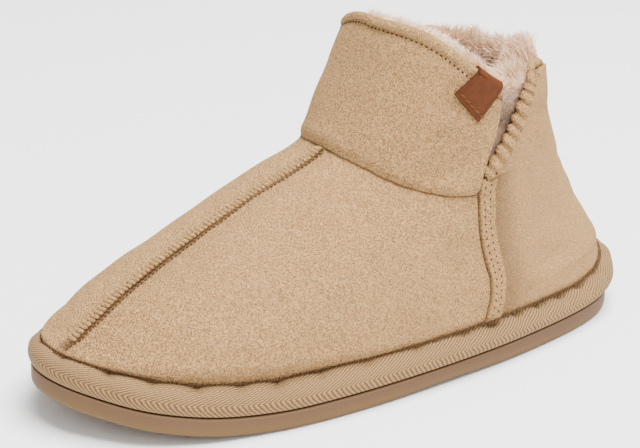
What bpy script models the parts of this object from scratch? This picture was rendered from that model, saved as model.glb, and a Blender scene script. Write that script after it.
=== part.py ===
"""Bootie slipper, left shoe, standing on its sole.

Metres, +Z up. The toe points to -Y and the outer side of the foot to +X. The origin is on the floor,
under the middle of the shoe's box. Each named object is one piece that a maker would cut or mould.
"""

import math
from collections import namedtuple

import bmesh
import bpy
import numpy as np
from mathutils import Matrix, Vector

# Length, width and heights of the whole shoe
SOLE_LENGTH = 0.262
BALL_WIDTH = 0.099
OUTSOLE_THICKNESS = 0.0078
PLATFORM_HEIGHT = 0.0097
TOE_SPRING = 0.0124
INSTEP_HEIGHT = 0.0880
FRONT_COLLAR_HEIGHT = 0.1345
SIDE_COLLAR_HEIGHT = 0.1140
BACK_COLLAR_HEIGHT = 0.1072

# Where the upper stands along the foot, from the middle of the sole
INSTEP_FROM_MIDDLE = -0.0120
COLLAR_FRONT_FROM_MIDDLE = 0.0060
COLLAR_BACK_FROM_MIDDLE = 0.0850

# Thicknesses and clearances
GAP = 0.0003
UPPER_WALL = 0.0024
FEATHER_CLEARANCE = 0.0005
INSOLE_CLEARANCE = 0.0017
INSOLE_THICKNESS = 0.0046
PLATFORM_RIM_WIDTH = 0.0056
PLATFORM_RECESS = 0.0042
PLATFORM_BULGE_TOE = 0.0010
PLATFORM_BULGE_HEEL = 0.0032
PLATFORM_HEEL_LIFT = 0.0045
SOLE_EDGE_ROUND = 0.0022
ARCH_LIFT = 0.0012

# Seams and edges
TOE_SEAM_HEIGHT = 0.0017
TOE_SEAM_HALF_WIDTH = 0.0019
SIDE_SEAM_WIDTH = 0.0070
SIDE_SEAM_HEIGHT = 0.0011
SEAM_GROOVE = 0.0011
SHAFT_STEP = 0.0014
COLLAR_BEAD = 0.0008
EDGING_RADIUS = 0.0024
EDGING_LUMP = 0.0006
EDGING_LUMP_PITCH = 0.0048

# Fur lining: how thick it is, how far it hangs down inside and stands over the collar. Its rise is given
# at the front, in the notches, at the back and on the inner side of the back.
FUR_THICKNESS = 0.0078
FUR_DEPTH = 0.0400
FUR_LOCK = 0.0024
FUR_LOCKS_ROUND = 50
FUR_RISE_FRONT = 0.0050
FUR_RISE_NOTCH = -0.0050
FUR_RISE_BACK = 0.0125
FUR_RISE_INNER = 0.0060

# Shape of the upper's ovals on each side: 1 is an ellipse, less is squarer
OUTER_CURVE = 0.86
INNER_VAMP_CURVE = 0.70

# Tread under the outsole
TREAD_DEPTH = 0.0015
TREAD_WIDTH = 0.0030
TREAD_PITCH = 0.0095
TREAD_BORDER = 0.0090

# Leather tab folded over the collar
TAB_WIDTH = 0.0112
TAB_DROP = 0.0170
TAB_INNER_DROP = 0.0110
TAB_THICKNESS = 0.0013
TAB_SLANT = 0.45
TAB_FROM_PANEL_EDGE = 0.0072

# Numbers of columns from toe to heel on one side of the plain outlines
OUTLINE_STEPS = 30

# Sole outline. station is a share of the length from the toe, centre and half are shares of half the
# ball width: where the middle of the sole runs, and how far each edge is from it.
Outline = namedtuple("Outline", "station centre half")
OUTLINE = (
    Outline(0.00, -0.105, 0.000),
    Outline(0.03, -0.090, 0.415),
    Outline(0.10, -0.055, 0.755),
    Outline(0.20, -0.025, 0.930),
    Outline(0.34, 0.005, 1.000),
    Outline(0.48, 0.058, 0.947),
    Outline(0.64, 0.082, 0.862),
    Outline(0.80, 0.046, 0.762),
    Outline(0.92, 0.018, 0.598),
    Outline(0.98, 0.000, 0.345),
    Outline(1.00, 0.000, 0.000),
)

# Levels of the upper below the instep seam, from the feather edge up. ahead: where the front of the
# level is, from the toe (0) to the instep (1). front, side and back: its rise there, from the feather
# edge (0) to the instep seam (1). lean: from the heel (0) to the back of the collar (1). half: greatest
# half width, a share of half the ball width. oval: 0 for the shape of the footprint, 1 for an oval.
# toe: how far the toe seam is from the front of the level, a share of half the ball width.
# seam: front edge of the side seam, a share of the sole length behind its middle.
Level = namedtuple("Level", "ahead front side lean back half oval toe seam")
VAMP_LEVELS = (
    Level(0.000, 0.000, 0.000, 0.000, 0.000, 0.877, 0.00, 0.100, 0.134),
    Level(0.000, 0.080, 0.080, 0.000, 0.060, 0.877, 0.00, 0.110, 0.136),
    Level(0.008, 0.125, 0.152, 0.000, 0.120, 0.925, 0.03, 0.130, 0.141),
    Level(0.039, 0.190, 0.264, 0.010, 0.207, 0.945, 0.12, 0.160, 0.147),
    Level(0.100, 0.272, 0.384, 0.150, 0.314, 0.935, 0.35, 0.150, 0.148),
    Level(0.205, 0.372, 0.520, 0.310, 0.433, 0.905, 0.65, 0.090, 0.140),
    Level(0.394, 0.530, 0.675, 0.475, 0.572, 0.865, 0.90, 0.030, 0.133),
    Level(0.688, 0.757, 0.837, 0.660, 0.760, 0.832, 1.00, 0.000, 0.130),
    Level(1.000, 1.000, 1.000, 0.865, 1.000, 0.800, 1.00, 0.000, 0.130),
)

# Heights of the instep seam where it ends at the side, and of that level at the back
SEAM_SIDE_HEIGHT = 0.0720
SEAM_BACK_HEIGHT = 0.0930

# Levels of the shaft above the instep seam. rise: from that seam (0) to the collar (1). ahead: from the
# instep (0) to the front of the collar (1). lean: as above. curve: shape of the oval on the inner side.
# hold: 1 where the rim falls evenly from front to side, less where it stays high. seam: rear edge of the
# front panel, and quarter: front edge of the heel quarter, both shares of the sole length as above.
Shaft = namedtuple("Shaft", "rise ahead lean half curve hold seam quarter")
SHAFT_LEVELS = (
    Shaft(0.00, 0.00, 0.865, 0.800, 0.66, 1.00, 0.130, 0.162),
    Shaft(0.30, 0.36, 0.912, 0.800, 0.70, 0.85, 0.143, 0.186),
    Shaft(0.65, 0.70, 0.960, 0.800, 0.80, 0.68, 0.160, 0.226),
    Shaft(1.00, 1.00, 1.000, 0.785, 0.90, 0.52, 0.168, 0.252),
)
NOTCH_LEVEL = 8.5
BEAD_LEVEL = 10.7

# Materials: colour, roughness
SUEDE = ("suede", (0.545, 0.415, 0.285), 0.95)
FUR = ("fur", (0.780, 0.680, 0.590), 1.00)
TAPE = ("herringbone_tape", (0.520, 0.400, 0.275), 0.85)
RUBBER = ("sole_rubber", (0.400, 0.290, 0.200), 0.60)
THREAD = ("overlock_thread", (0.600, 0.470, 0.345), 0.90)
LEATHER = ("tab_leather", (0.300, 0.110, 0.045), 0.50)

VAMP_TOP = len(VAMP_LEVELS) - 1
COLLAR = VAMP_TOP + len(SHAFT_LEVELS) - 1
HALF_LENGTH = SOLE_LENGTH / 2
HALF_BALL = BALL_WIDTH / 2
PLATFORM_BASE = OUTSOLE_THICKNESS + GAP
PLATFORM_TOP = PLATFORM_BASE + PLATFORM_HEIGHT
RECESS_FLOOR = PLATFORM_TOP - PLATFORM_RECESS
FEATHER_HEIGHT = RECESS_FLOOR + GAP
FEATHER_INSET = PLATFORM_RIM_WIDTH + FEATHER_CLEARANCE
FUR_INSET = UPPER_WALL / 2 + EDGING_RADIUS + EDGING_LUMP + 2 * GAP


# Curves through tables

def smooth(knots, values, at):
    """Monotone cubic through the knots, so that a table's peak stays its peak."""
    knots, values = np.asarray(knots, float), np.asarray(values, float)
    at = np.clip(np.asarray(at, float), knots[0], knots[-1])
    step = np.diff(knots)
    rise = np.diff(values) / step
    slope = np.concatenate([[rise[0]], np.zeros(len(knots) - 2), [rise[-1]]])
    for i in range(1, len(knots) - 1):
        if rise[i - 1] * rise[i] > 0:
            before, after = 2 * step[i] + step[i - 1], step[i] + 2 * step[i - 1]
            slope[i] = (before + after) / (before / rise[i - 1] + after / rise[i])
    i = np.clip(np.searchsorted(knots, at, side="right") - 1, 0, len(step) - 1)
    t = (at - knots[i]) / step[i]
    return (
        values[i] * (1 + 2 * t) * (1 - t) ** 2
        + values[i + 1] * t**2 * (3 - 2 * t)
        + step[i] * slope[i] * t * (1 - t) ** 2
        - step[i] * slope[i + 1] * t**2 * (1 - t)
    )


def column(table, name):
    return [getattr(row, name) for row in table]


def turn_of(station):
    """Angle round half an outline, 0 at the toe and pi at the heel, for a share of its length."""
    return np.arccos(1 - 2 * np.clip(station, 0, 1))


def station_of(turn):
    return (1 - np.cos(turn)) / 2


def footprint(turn, name):
    """The outline's centre or half width at an angle round it, as a share of half the ball width."""
    return smooth(turn_of(np.array(column(OUTLINE, "station"))), column(OUTLINE, name), turn)


# Sole outlines

def toe_lift(y):
    """Rise of the sole from the floor towards the toe, which starts ahead of the ball."""
    station = (y + HALF_LENGTH) / SOLE_LENGTH
    return TOE_SPRING * np.clip((0.31 - station) / 0.31, 0, 1) ** 2


def arch_lift(y):
    """Shallow hollow under the waist of the outsole."""
    station = (y + HALF_LENGTH) / SOLE_LENGTH
    return ARCH_LIFT * np.exp(-(((station - 0.58) / 0.10) ** 2)) * (np.abs(station - 0.58) < 0.17)


def outline_ring(inset, height):
    """Closed ring of the sole outline, moved in by inset: toe, outer side, heel, inner side."""
    turn = np.linspace(0, math.pi, OUTLINE_STEPS + 1)
    y = -np.cos(turn) * (HALF_LENGTH - inset)
    centre = footprint(turn, "centre") * HALF_BALL
    half = footprint(turn, "half") * (HALF_BALL - inset)
    outer = np.stack([centre + half, y, height + toe_lift(y)], axis=1)
    inner = np.stack([centre - half, y, height + toe_lift(y)], axis=1)
    return np.concatenate([outer, inner[-2:0:-1]])


# Mesh helpers

def material(spec):
    name, colour, roughness = spec
    made = bpy.data.materials.get(name) or bpy.data.materials.new(name)
    made.use_nodes = True
    shader = made.node_tree.nodes["Principled BSDF"]
    shader.inputs["Base Color"].default_value = (*colour, 1)
    shader.inputs["Roughness"].default_value = roughness
    shader.inputs["Metallic"].default_value = 0
    return made


def add_object(name, bm, spec, group, smooth_angle=50):
    bmesh.ops.recalc_face_normals(bm, faces=bm.faces)
    mesh = bpy.data.meshes.new(name)
    bm.to_mesh(mesh)
    bm.free()
    mesh.shade_smooth()
    mesh.set_sharp_from_angle(angle=math.radians(smooth_angle))
    mesh.materials.append(material(spec))
    made = bpy.data.objects.new(name, mesh)
    group.objects.link(made)
    return made


def bridge(bm, low, high):
    """Quads between two closed rings of vertices."""
    count = len(low)
    for i in range(count):
        j = (i + 1) % count
        bm.faces.new((low[i], low[j], high[j], high[i]))


def cap(bm, ring):
    """Closes a ring that runs toe, outer side, heel, inner side with strips straight across it."""
    count = len(ring)
    half = count // 2
    bm.faces.new((ring[0], ring[1], ring[-1]))
    bm.faces.new((ring[half - 1], ring[half], ring[half + 1]))
    for i in range(1, half - 1):
        bm.faces.new((ring[i], ring[i + 1], ring[count - i - 1], ring[count - i]))


def loft(rings, closed_loop=False):
    """Skin over rings of equal count: capped at both ends, or joined last to first."""
    bm = bmesh.new()
    made = [[bm.verts.new(point) for point in ring] for ring in rings]
    for low, high in zip(made, made[1:]):
        bridge(bm, low, high)
    if closed_loop:
        bridge(bm, made[-1], made[0])
    else:
        cap(bm, made[0])
        cap(bm, made[-1])
    return bm


def tube(name, points, radii, spec, group, sides):
    """Round cord through the points, with its own radius at each."""
    curve = bpy.data.curves.new(name, "CURVE")
    curve.dimensions = "3D"
    curve.bevel_depth = 1.0
    curve.bevel_resolution = sides
    curve.use_fill_caps = True
    spline = curve.splines.new("POLY")
    spline.points.add(len(points) - 1)
    for target, point, radius in zip(spline.points, points, radii):
        target.co = (*point, 1)
        target.radius = radius
    curve.materials.append(material(spec))
    made = bpy.data.objects.new(name, curve)
    group.objects.link(made)
    return made


def along(points, share):
    """Points at shares of the length of a polyline."""
    points = np.asarray(points, float)
    lengths = np.concatenate([[0], np.cumsum(np.linalg.norm(np.diff(points, axis=0), axis=1))])
    return np.stack([np.interp(share * lengths[-1], lengths, points[:, k]) for k in range(3)], axis=1)


def path_length(points):
    return float(np.linalg.norm(np.diff(np.asarray(points), axis=0), axis=1).sum())


# Outsole and platform

def make_outsole(group, cutters):
    """Rubber sole with a rounded lower edge, toe spring, a hollow under the waist and a ribbed tread."""
    profile = (
        (SOLE_EDGE_ROUND, 0.0),
        (SOLE_EDGE_ROUND * 0.30, SOLE_EDGE_ROUND * 0.42),
        (0.0002, SOLE_EDGE_ROUND * 1.15),
        (0.0, OUTSOLE_THICKNESS * 0.62),
        (0.0003, OUTSOLE_THICKNESS),
    )
    rings = []
    for inset, height in profile:
        ring = outline_ring(inset, height)
        ring[:, 2] += arch_lift(ring[:, 1]) * (1 - height / OUTSOLE_THICKNESS)
        rings.append(ring)
    outsole = add_object("outsole", loft(rings), RUBBER, group, 40)

    grooves = bmesh.new()
    for first, last in ((0.20, 0.44), (0.74, 0.92)):
        count = int((last - first) * SOLE_LENGTH / TREAD_PITCH)
        for i in range(count + 1):
            y = first * SOLE_LENGTH + i * TREAD_PITCH - HALF_LENGTH
            turn = turn_of((y + HALF_LENGTH) / SOLE_LENGTH)
            centre = float(footprint(turn, "centre")) * HALF_BALL
            half = float(footprint(turn, "half")) * HALF_BALL - TREAD_BORDER
            box = bmesh.ops.create_cube(grooves, size=1)["verts"]
            lift = float(toe_lift(y))
            bmesh.ops.scale(grooves, vec=(2 * half, TREAD_WIDTH, 2 * TREAD_DEPTH), verts=box)
            bmesh.ops.translate(grooves, vec=(centre, y, lift), verts=box)
    cutter = add_object("tread_cutter", grooves, RUBBER, cutters)
    cutter.hide_render = True
    cutter.display_type = "WIRE"
    cut = outsole.modifiers.new("Tread", "BOOLEAN")
    cut.object = cutter
    return outsole


def make_platform(group):
    """Padded platform in its tape: a rounded rim round a recess that the upper and insole sit in."""
    turn = np.linspace(0, math.pi, OUTLINE_STEPS + 1)
    bulge = PLATFORM_BULGE_TOE + (PLATFORM_BULGE_HEEL - PLATFORM_BULGE_TOE) * station_of(turn)
    profile = (
        (0.0012, 0.0, 0.0),
        (0.0, 0.14, 0.35),
        (0.0, 0.40, 1.00),
        (0.0, 0.64, 0.75),
        (PLATFORM_RIM_WIDTH * 0.14, 0.86, 0.30),
        (PLATFORM_RIM_WIDTH * 0.40, 0.98, 0.0),
        (PLATFORM_RIM_WIDTH * 0.66, 1.00, 0.0),
        (PLATFORM_RIM_WIDTH * 0.93, 0.92, 0.0),
        (PLATFORM_RIM_WIDTH, 0.78, 0.0),
        (PLATFORM_RIM_WIDTH, 1 - PLATFORM_RECESS / PLATFORM_HEIGHT, 0.0),
    )
    heel = np.clip((station_of(turn) - 0.86) / 0.14, 0, 1) ** 1.5 * PLATFORM_HEEL_LIFT
    rings = []
    for inset, height, share in profile:
        out = np.stack([np.sin(turn), -np.cos(turn)], axis=1) * (bulge * share)[:, None]
        ring = outline_ring(inset, PLATFORM_BASE + PLATFORM_HEIGHT * height)
        ring[:, :2] += np.concatenate([out, out[-2:0:-1] * (-1, 1)])
        if inset < PLATFORM_RIM_WIDTH or height > 0.7:
            ring[:, 2] += np.concatenate([heel, heel[-2:0:-1]]) * min(height * 1.4, 1)
        rings.append(ring)
    return add_object("platform", loft(rings), TAPE, group)


def make_insole(group):
    """Footbed, its pile lying in the recess inside the upper."""
    inset = FEATHER_INSET + UPPER_WALL + INSOLE_CLEARANCE
    profile = (
        (inset + 0.0008, 0.0),
        (inset, 0.0010),
        (inset, INSOLE_THICKNESS * 0.70),
        (inset + 0.0020, INSOLE_THICKNESS),
    )
    rings = [outline_ring(i, FEATHER_HEIGHT + height) for i, height in profile]
    return add_object("insole", loft(rings), FUR, group)


# Upper

def level_sizes(level):
    """Sizes of the upper at a level: 0 at the feather edge, VAMP_TOP at the seam, COLLAR at the rim."""
    low = np.arange(VAMP_TOP + 1)
    high = np.arange(VAMP_TOP, COLLAR + 1)
    toe = -(HALF_LENGTH - FEATHER_INSET)
    heel = HALF_LENGTH - FEATHER_INSET
    front_base = FEATHER_HEIGHT + float(toe_lift(toe))

    def both(vamp, shaft):
        knots = np.concatenate([low, high[1:]])
        return float(smooth(knots, np.concatenate([vamp, shaft[1:]]), level))

    def vamp(name):
        return np.array(column(VAMP_LEVELS, name))

    def shaft(name):
        return np.array(column(SHAFT_LEVELS, name))

    rise = shaft("rise")
    return {
        "front_y": both(
            toe + vamp("ahead") * (INSTEP_FROM_MIDDLE - toe),
            INSTEP_FROM_MIDDLE + shaft("ahead") * (COLLAR_FRONT_FROM_MIDDLE - INSTEP_FROM_MIDDLE),
        ),
        "back_y": both(
            heel + vamp("lean") * (COLLAR_BACK_FROM_MIDDLE - heel),
            heel + shaft("lean") * (COLLAR_BACK_FROM_MIDDLE - heel),
        ),
        "front_z": both(
            front_base + vamp("front") * (INSTEP_HEIGHT - front_base),
            INSTEP_HEIGHT + rise * (FRONT_COLLAR_HEIGHT - INSTEP_HEIGHT),
        ),
        "side_z": both(
            FEATHER_HEIGHT + vamp("side") * (SEAM_SIDE_HEIGHT - FEATHER_HEIGHT),
            SEAM_SIDE_HEIGHT + rise * (SIDE_COLLAR_HEIGHT - SEAM_SIDE_HEIGHT),
        ),
        "back_z": both(
            FEATHER_HEIGHT + vamp("back") * (SEAM_BACK_HEIGHT - FEATHER_HEIGHT),
            SEAM_BACK_HEIGHT + rise * (BACK_COLLAR_HEIGHT - SEAM_BACK_HEIGHT),
        ),
        "half": both(vamp("half"), shaft("half")) * HALF_BALL,
        "oval": both(vamp("oval"), np.ones(len(rise))),
        "toe": both(vamp("toe"), np.zeros(len(rise))) * HALF_BALL,
        "curve": both(np.full(len(low), INNER_VAMP_CURVE), shaft("curve")),
        "hold": both(np.ones(len(low)), shaft("hold")),
        "seam_y": both(vamp("seam"), shaft("seam")) * SOLE_LENGTH,
        "quarter_y": max(
            both(vamp("seam"), shaft("quarter")) * SOLE_LENGTH,
            both(vamp("seam"), shaft("seam")) * SOLE_LENGTH + SEAM_GROOVE + SIDE_SEAM_WIDTH,
        ),
    }


def half_width(sizes, turn, side):
    curve = np.where(side > 0, OUTER_CURVE, sizes["curve"])
    print_share = footprint(turn, "half") * (1 - sizes["oval"])
    return sizes["half"] * (print_share + np.sin(turn) ** curve * sizes["oval"])


def turn_at(sizes, y):
    """Angle round the level's ring at a place along the foot."""
    return turn_of((y - sizes["front_y"]) / (sizes["back_y"] - sizes["front_y"]))


def upper_points(sizes, turn, side):
    """Points on one side of the upper at a level. side is 1 for the outer side and -1 for the inner.

    An angle below 0 is past the front, on the other side.
    """
    turn = np.asarray(turn, float)
    side = np.where(turn < 0, -side, side)
    turn = np.abs(turn)
    y = sizes["front_y"] + (sizes["back_y"] - sizes["front_y"]) * station_of(turn)
    centre = footprint(turn, "centre") * HALF_BALL * (1 - sizes["oval"])
    x = centre + side * half_width(sizes, turn, side)
    seam = turn_at(sizes, sizes["seam_y"])
    to_front = ((1 + np.cos(math.pi * np.clip(turn / seam, 0, 1))) / 2) ** sizes["hold"]
    to_back = (1 + np.cos(math.pi * np.clip((math.pi - turn) / (math.pi - seam), 0, 1))) / 2
    z = (
        sizes["side_z"]
        + (sizes["front_z"] - sizes["side_z"]) * to_front
        + (sizes["back_z"] - sizes["side_z"]) * to_back
    )
    flat = np.clip(1 - (sizes["side_z"] - FEATHER_HEIGHT) / PLATFORM_RECESS, 0, 1)
    z = z * (1 - flat) + (FEATHER_HEIGHT + toe_lift(y)) * flat
    return np.stack([x, y, z], axis=1)


# Columns of the upper's grid on one side, from the toe seam (0) to the back (last)
FRONT_COLUMNS = 8
BACK_COLUMNS = 5
PANEL_EDGE = 3 + FRONT_COLUMNS
GROOVE, STRIP_FRONT, STRIP_MIDDLE, QUARTER_EDGE, STRIP_END = range(PANEL_EDGE + 1, PANEL_EDGE + 6)
SIDE_COLUMNS = STRIP_END + BACK_COLUMNS + 1

# Rows of the upper's grid, as levels
UPPER_ROWS = (
    0, 1, 1.5, 2, 2.5, 3, 3.5, 4, 4.5, 5, 5.5, 6, 6.5, 7, 7.5, 7.82, 8, 8.14,
    NOTCH_LEVEL, 8.9, 9.3, 9.65, 10, 10.35, BEAD_LEVEL, BEAD_LEVEL + 0.06, COLLAR - 0.06, COLLAR,
)


def column_turns(sizes, side):
    """Angles of the grid's columns at a level, on one side."""
    fine = np.linspace(-0.9, 0.9, 400)
    across = upper_points(sizes, fine, side)[:, 0] * side
    middle = (float(footprint(0, "centre")) * HALF_BALL * (1 - sizes["oval"]) + sizes["toe"]) * side
    widths = np.array([0, TOE_SEAM_HALF_WIDTH, TOE_SEAM_HALF_WIDTH + SEAM_GROOVE])
    ridge = np.interp(middle + widths, across, fine)
    seam_y, quarter_y = sizes["seam_y"], sizes["quarter_y"]
    strip_y = quarter_y - SIDE_SEAM_WIDTH
    places = (
        seam_y,
        (seam_y + strip_y) / 2,
        strip_y,
        (strip_y + quarter_y) / 2,
        quarter_y,
        quarter_y + SEAM_GROOVE,
    )
    seam = [float(turn_at(sizes, y)) for y in places]
    front = np.linspace(ridge[2], seam[0], FRONT_COLUMNS + 2)[1:-1]
    back = np.linspace(seam[-1], math.pi, BACK_COLUMNS + 2)[1:]
    return np.concatenate([ridge, front, seam, back])


def raised_by(level):
    """How far each column stands off the plain surface at a level: toe seam, side seam, shaft step."""
    lift = np.zeros(SIDE_COLUMNS + 1)
    clear_of_rim = min(max(level - 0.9, 0), 1)
    if level <= VAMP_TOP:
        lift[0] = TOE_SEAM_HEIGHT
        lift[1] = TOE_SEAM_HEIGHT * 0.72
        lift[2] = -TOE_SEAM_HEIGHT * 0.22
    if level < NOTCH_LEVEL:
        lift[GROOVE] = -SIDE_SEAM_HEIGHT * 0.5
        lift[STRIP_FRONT] = SIDE_SEAM_HEIGHT * 0.7
        lift[STRIP_MIDDLE] = SIDE_SEAM_HEIGHT
        lift[QUARTER_EDGE] = SIDE_SEAM_HEIGHT * 0.7
    lift *= clear_of_rim
    above = level - VAMP_TOP
    if above > 0:
        puff = SHAFT_STEP * math.exp(-(above * 0.55))
        lift[: PANEL_EDGE + 1] += puff
    if above == 0:
        lift[:PANEL_EDGE] -= SHAFT_STEP * 0.45
    if level > BEAD_LEVEL:
        lift[: PANEL_EDGE + 1] += COLLAR_BEAD * (1 if level < COLLAR else 0.5)
    return lift


def upper_grid():
    """Outer surface of the upper: rows of points, each toe, outer side, heel, inner side."""
    plain, lift = [], []
    for level in UPPER_ROWS:
        sizes = level_sizes(level)
        outer = upper_points(sizes, column_turns(sizes, 1), 1)
        inner = upper_points(sizes, column_turns(sizes, -1), -1)
        plain.append(np.concatenate([outer, inner[-2:0:-1]]))
        one_side = raised_by(level)
        lift.append(np.concatenate([one_side, one_side[-2:0:-1]]))
    plain, lift = np.array(plain), np.array(lift)
    return plain, outward(plain), lift


def outward(grid):
    """Unit normals of a grid of points, closed round each row, away from the inside."""
    around = np.roll(grid, -1, axis=1) - np.roll(grid, 1, axis=1)
    up = np.gradient(grid, axis=0)
    normal = np.cross(around, up)
    return normal / np.linalg.norm(normal, axis=2, keepdims=True)


def make_upper(group):
    """Suede shell with its wall, open at the collar, at the two side notches and underneath."""
    plain, normal, lift = upper_grid()
    points = plain + normal * lift[:, :, None]
    rows, columns = points.shape[:2]
    notch_row = UPPER_ROWS.index(NOTCH_LEVEL)
    bm = bmesh.new()
    made = [[bm.verts.new(point) for point in row] for row in points]
    for r in range(rows - 1):
        for c in range(columns):
            side_column = min(c, columns - 1 - c)
            if r >= notch_row and PANEL_EDGE <= side_column < QUARTER_EDGE:
                continue
            d = (c + 1) % columns
            bm.faces.new((made[r][c], made[r][d], made[r + 1][d], made[r + 1][c]))
    bmesh.ops.delete(bm, geom=[v for v in bm.verts if not v.link_faces], context="VERTS")
    upper = add_object("upper", bm, SUEDE, group)
    wall = upper.modifiers.new("Wall", "SOLIDIFY")
    wall.thickness = UPPER_WALL
    wall.offset = -1
    return upper


# Collar: surface of the shaft by angle round it and distance down from the rim

def shaft_surface(turn, side, down):
    """Points and outward normals of the shaft's plain outer surface. All three are arrays of one length."""
    levels = np.linspace(VAMP_TOP - 3, COLLAR, 49)
    sizes = [level_sizes(level) for level in levels]

    def point(turns, depth):
        """Points at a distance down each column; above the rim it goes straight on."""
        columns = np.empty((len(levels), len(turns), 3))
        for i, size in enumerate(sizes):
            for s in (1, -1):
                pick = side == s
                columns[i, pick] = upper_points(size, turns[pick], s)
        columns = columns[::-1]
        steps = np.linalg.norm(np.diff(columns, axis=0), axis=2)
        length = np.concatenate([np.zeros((1, len(turns))), np.cumsum(steps, axis=0)])
        found = np.empty((len(turns), 3))
        for j in range(len(turns)):
            for k in range(3):
                found[j, k] = np.interp(depth[j], length[:, j], columns[:, j, k])
            if depth[j] < 0:
                up = columns[0, j] - columns[4, j]
                found[j] += up / np.linalg.norm(up) * -depth[j]
        return found

    here = point(turn, down)
    nudge = 0.02
    around = point(np.clip(turn + nudge, 0, math.pi), down) - point(np.clip(turn - nudge, 0, math.pi), down)
    around *= side[:, None]
    normal = np.cross(around, point(turn, down - 0.002) - point(turn, down + 0.002))
    seamward = (turn < 2 * nudge) | (turn > math.pi - 2 * nudge)
    normal[seamward, 0] = 0
    return here, normal / np.linalg.norm(normal, axis=1, keepdims=True)


def ring_of_turns(count):
    """Angles and sides for a closed loop round the collar: toe, outer side, heel, inner side."""
    half = np.linspace(0, math.pi, count // 2 + 1)
    turn = np.concatenate([half, half[-2:0:-1]])
    side = np.concatenate([np.ones(count // 2 + 1), -np.ones(count // 2 - 1)])
    return turn, side


def make_fur_collar(group):
    """Deep fur lining: one closed ring with pointed locks, over the collar and down inside the shaft."""
    count = FUR_LOCKS_ROUND * 2
    turn, side = ring_of_turns(count)
    rim = level_sizes(COLLAR)
    notch = float(turn_at(rim, (rim["seam_y"] + rim["quarter_y"]) / 2))
    to_inner = np.where(side < 0, np.clip((math.pi - turn) / 0.9, 0, 1), 0)
    behind = FUR_RISE_BACK + (FUR_RISE_INNER - FUR_RISE_BACK) * to_inner
    rise = np.where(
        turn < notch,
        FUR_RISE_NOTCH + (FUR_RISE_FRONT - FUR_RISE_NOTCH) * np.clip((notch - turn) / 0.45, 0, 1) ** 0.8,
        FUR_RISE_NOTCH + (behind - FUR_RISE_NOTCH) * np.clip((turn - notch) / 0.45, 0, 1) ** 0.8,
    )
    outer, inner = FUR_INSET, FUR_INSET + FUR_THICKNESS
    # Rows round the section: distance down, depth from the wall's outer face, share of the lock's length
    section = (
        (FUR_DEPTH, outer, 0.0),
        (FUR_DEPTH * 0.66, outer, 0.0),
        (FUR_DEPTH * 0.33, outer, 0.0),
        (0.0040, outer, 0.0),
        (-rise * 0.55 + 0.0006, outer + 0.0003, 0.25),
        (-rise * 0.90, outer + FUR_THICKNESS * 0.22, 0.80),
        (-rise, outer + FUR_THICKNESS * 0.55, 1.00),
        (-rise * 0.72, outer + FUR_THICKNESS * 0.86, 0.90),
        (0.0040, inner, 0.80),
        (FUR_DEPTH * 0.26, inner, 0.70),
        (FUR_DEPTH * 0.45, inner, 0.60),
        (FUR_DEPTH * 0.66, inner - 0.0008, 0.50),
        (FUR_DEPTH * 0.86, inner - 0.0020, 0.30),
        (FUR_DEPTH, inner - 0.0044, 0.0),
    )
    rng = np.random.default_rng(7)
    rings = []
    for row, (down, depth, share) in enumerate(section):
        down = np.full(count, down) if np.isscalar(down) else down
        here, normal = shaft_surface(turn, side, down)
        high = shaft_surface(turn, side, down - 0.004)[0]
        up = (high - here) / np.linalg.norm(high - here, axis=1, keepdims=True)
        crest = ((np.arange(count) + row) % 2) * 2 - 1
        lock = FUR_LOCK * share * (crest * 0.45 + 0.15 + rng.uniform(-0.30, 0.30, count))
        top = 4 <= row <= 7
        away = up * (0.9 if top else 0.2) - normal * (0.35 if top else 0.8)
        rings.append(here - normal * depth + away * lock[:, None])
    return add_object("fur_collar", loft(rings, closed_loop=True), FUR, group, 70)


def make_quarter_edging(group):
    """Lumpy overlocked edge: up the heel quarter's notch, round the back rim and down the other notch."""
    reach = EDGING_RADIUS + EDGING_LUMP + GAP
    rim = level_sizes(COLLAR)
    corner = float(turn_at(rim, rim["quarter_y"]))
    legs = []
    for side in (1, -1):
        leg = []
        for level in np.linspace(NOTCH_LEVEL + 0.24, COLLAR - 0.12, 12):
            sizes = level_sizes(level)
            turn = turn_at(sizes, sizes["quarter_y"])
            edge, behind = upper_points(sizes, [turn, turn + 0.01], side)
            forward = (edge - behind) / np.linalg.norm(edge - behind)
            leg.append(edge + forward * (reach + 0.0011))
        turn = np.concatenate([[corner], np.linspace(corner + 0.10, math.pi, 16)])
        top = shaft_surface(turn, np.full(len(turn), side), np.full(len(turn), -reach - 0.0003))[0]
        top[0] += (edge - behind) / np.linalg.norm(edge - behind) * reach * 0.85
        legs.append(np.concatenate([leg, top]))
    path = np.concatenate([legs[0], legs[1][-2::-1]])
    inward = np.array([0, (COLLAR_BACK_FROM_MIDDLE + COLLAR_FRONT_FROM_MIDDLE) / 2, 0]) - path
    inward[:, 2] = 0
    path += inward / np.linalg.norm(inward, axis=1, keepdims=True) * UPPER_WALL / 2
    steps = int(path_length(path) / EDGING_LUMP_PITCH) * 4
    points = along(path, np.linspace(0, 1, steps + 1))
    points[1:-1] = (points[:-2] + 2 * points[1:-1] + points[2:]) / 4
    radii = EDGING_RADIUS + EDGING_LUMP * np.cos(np.arange(steps + 1) * math.pi / 2)
    return tube("quarter_edging", points, radii, THREAD, group, 1)


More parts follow.
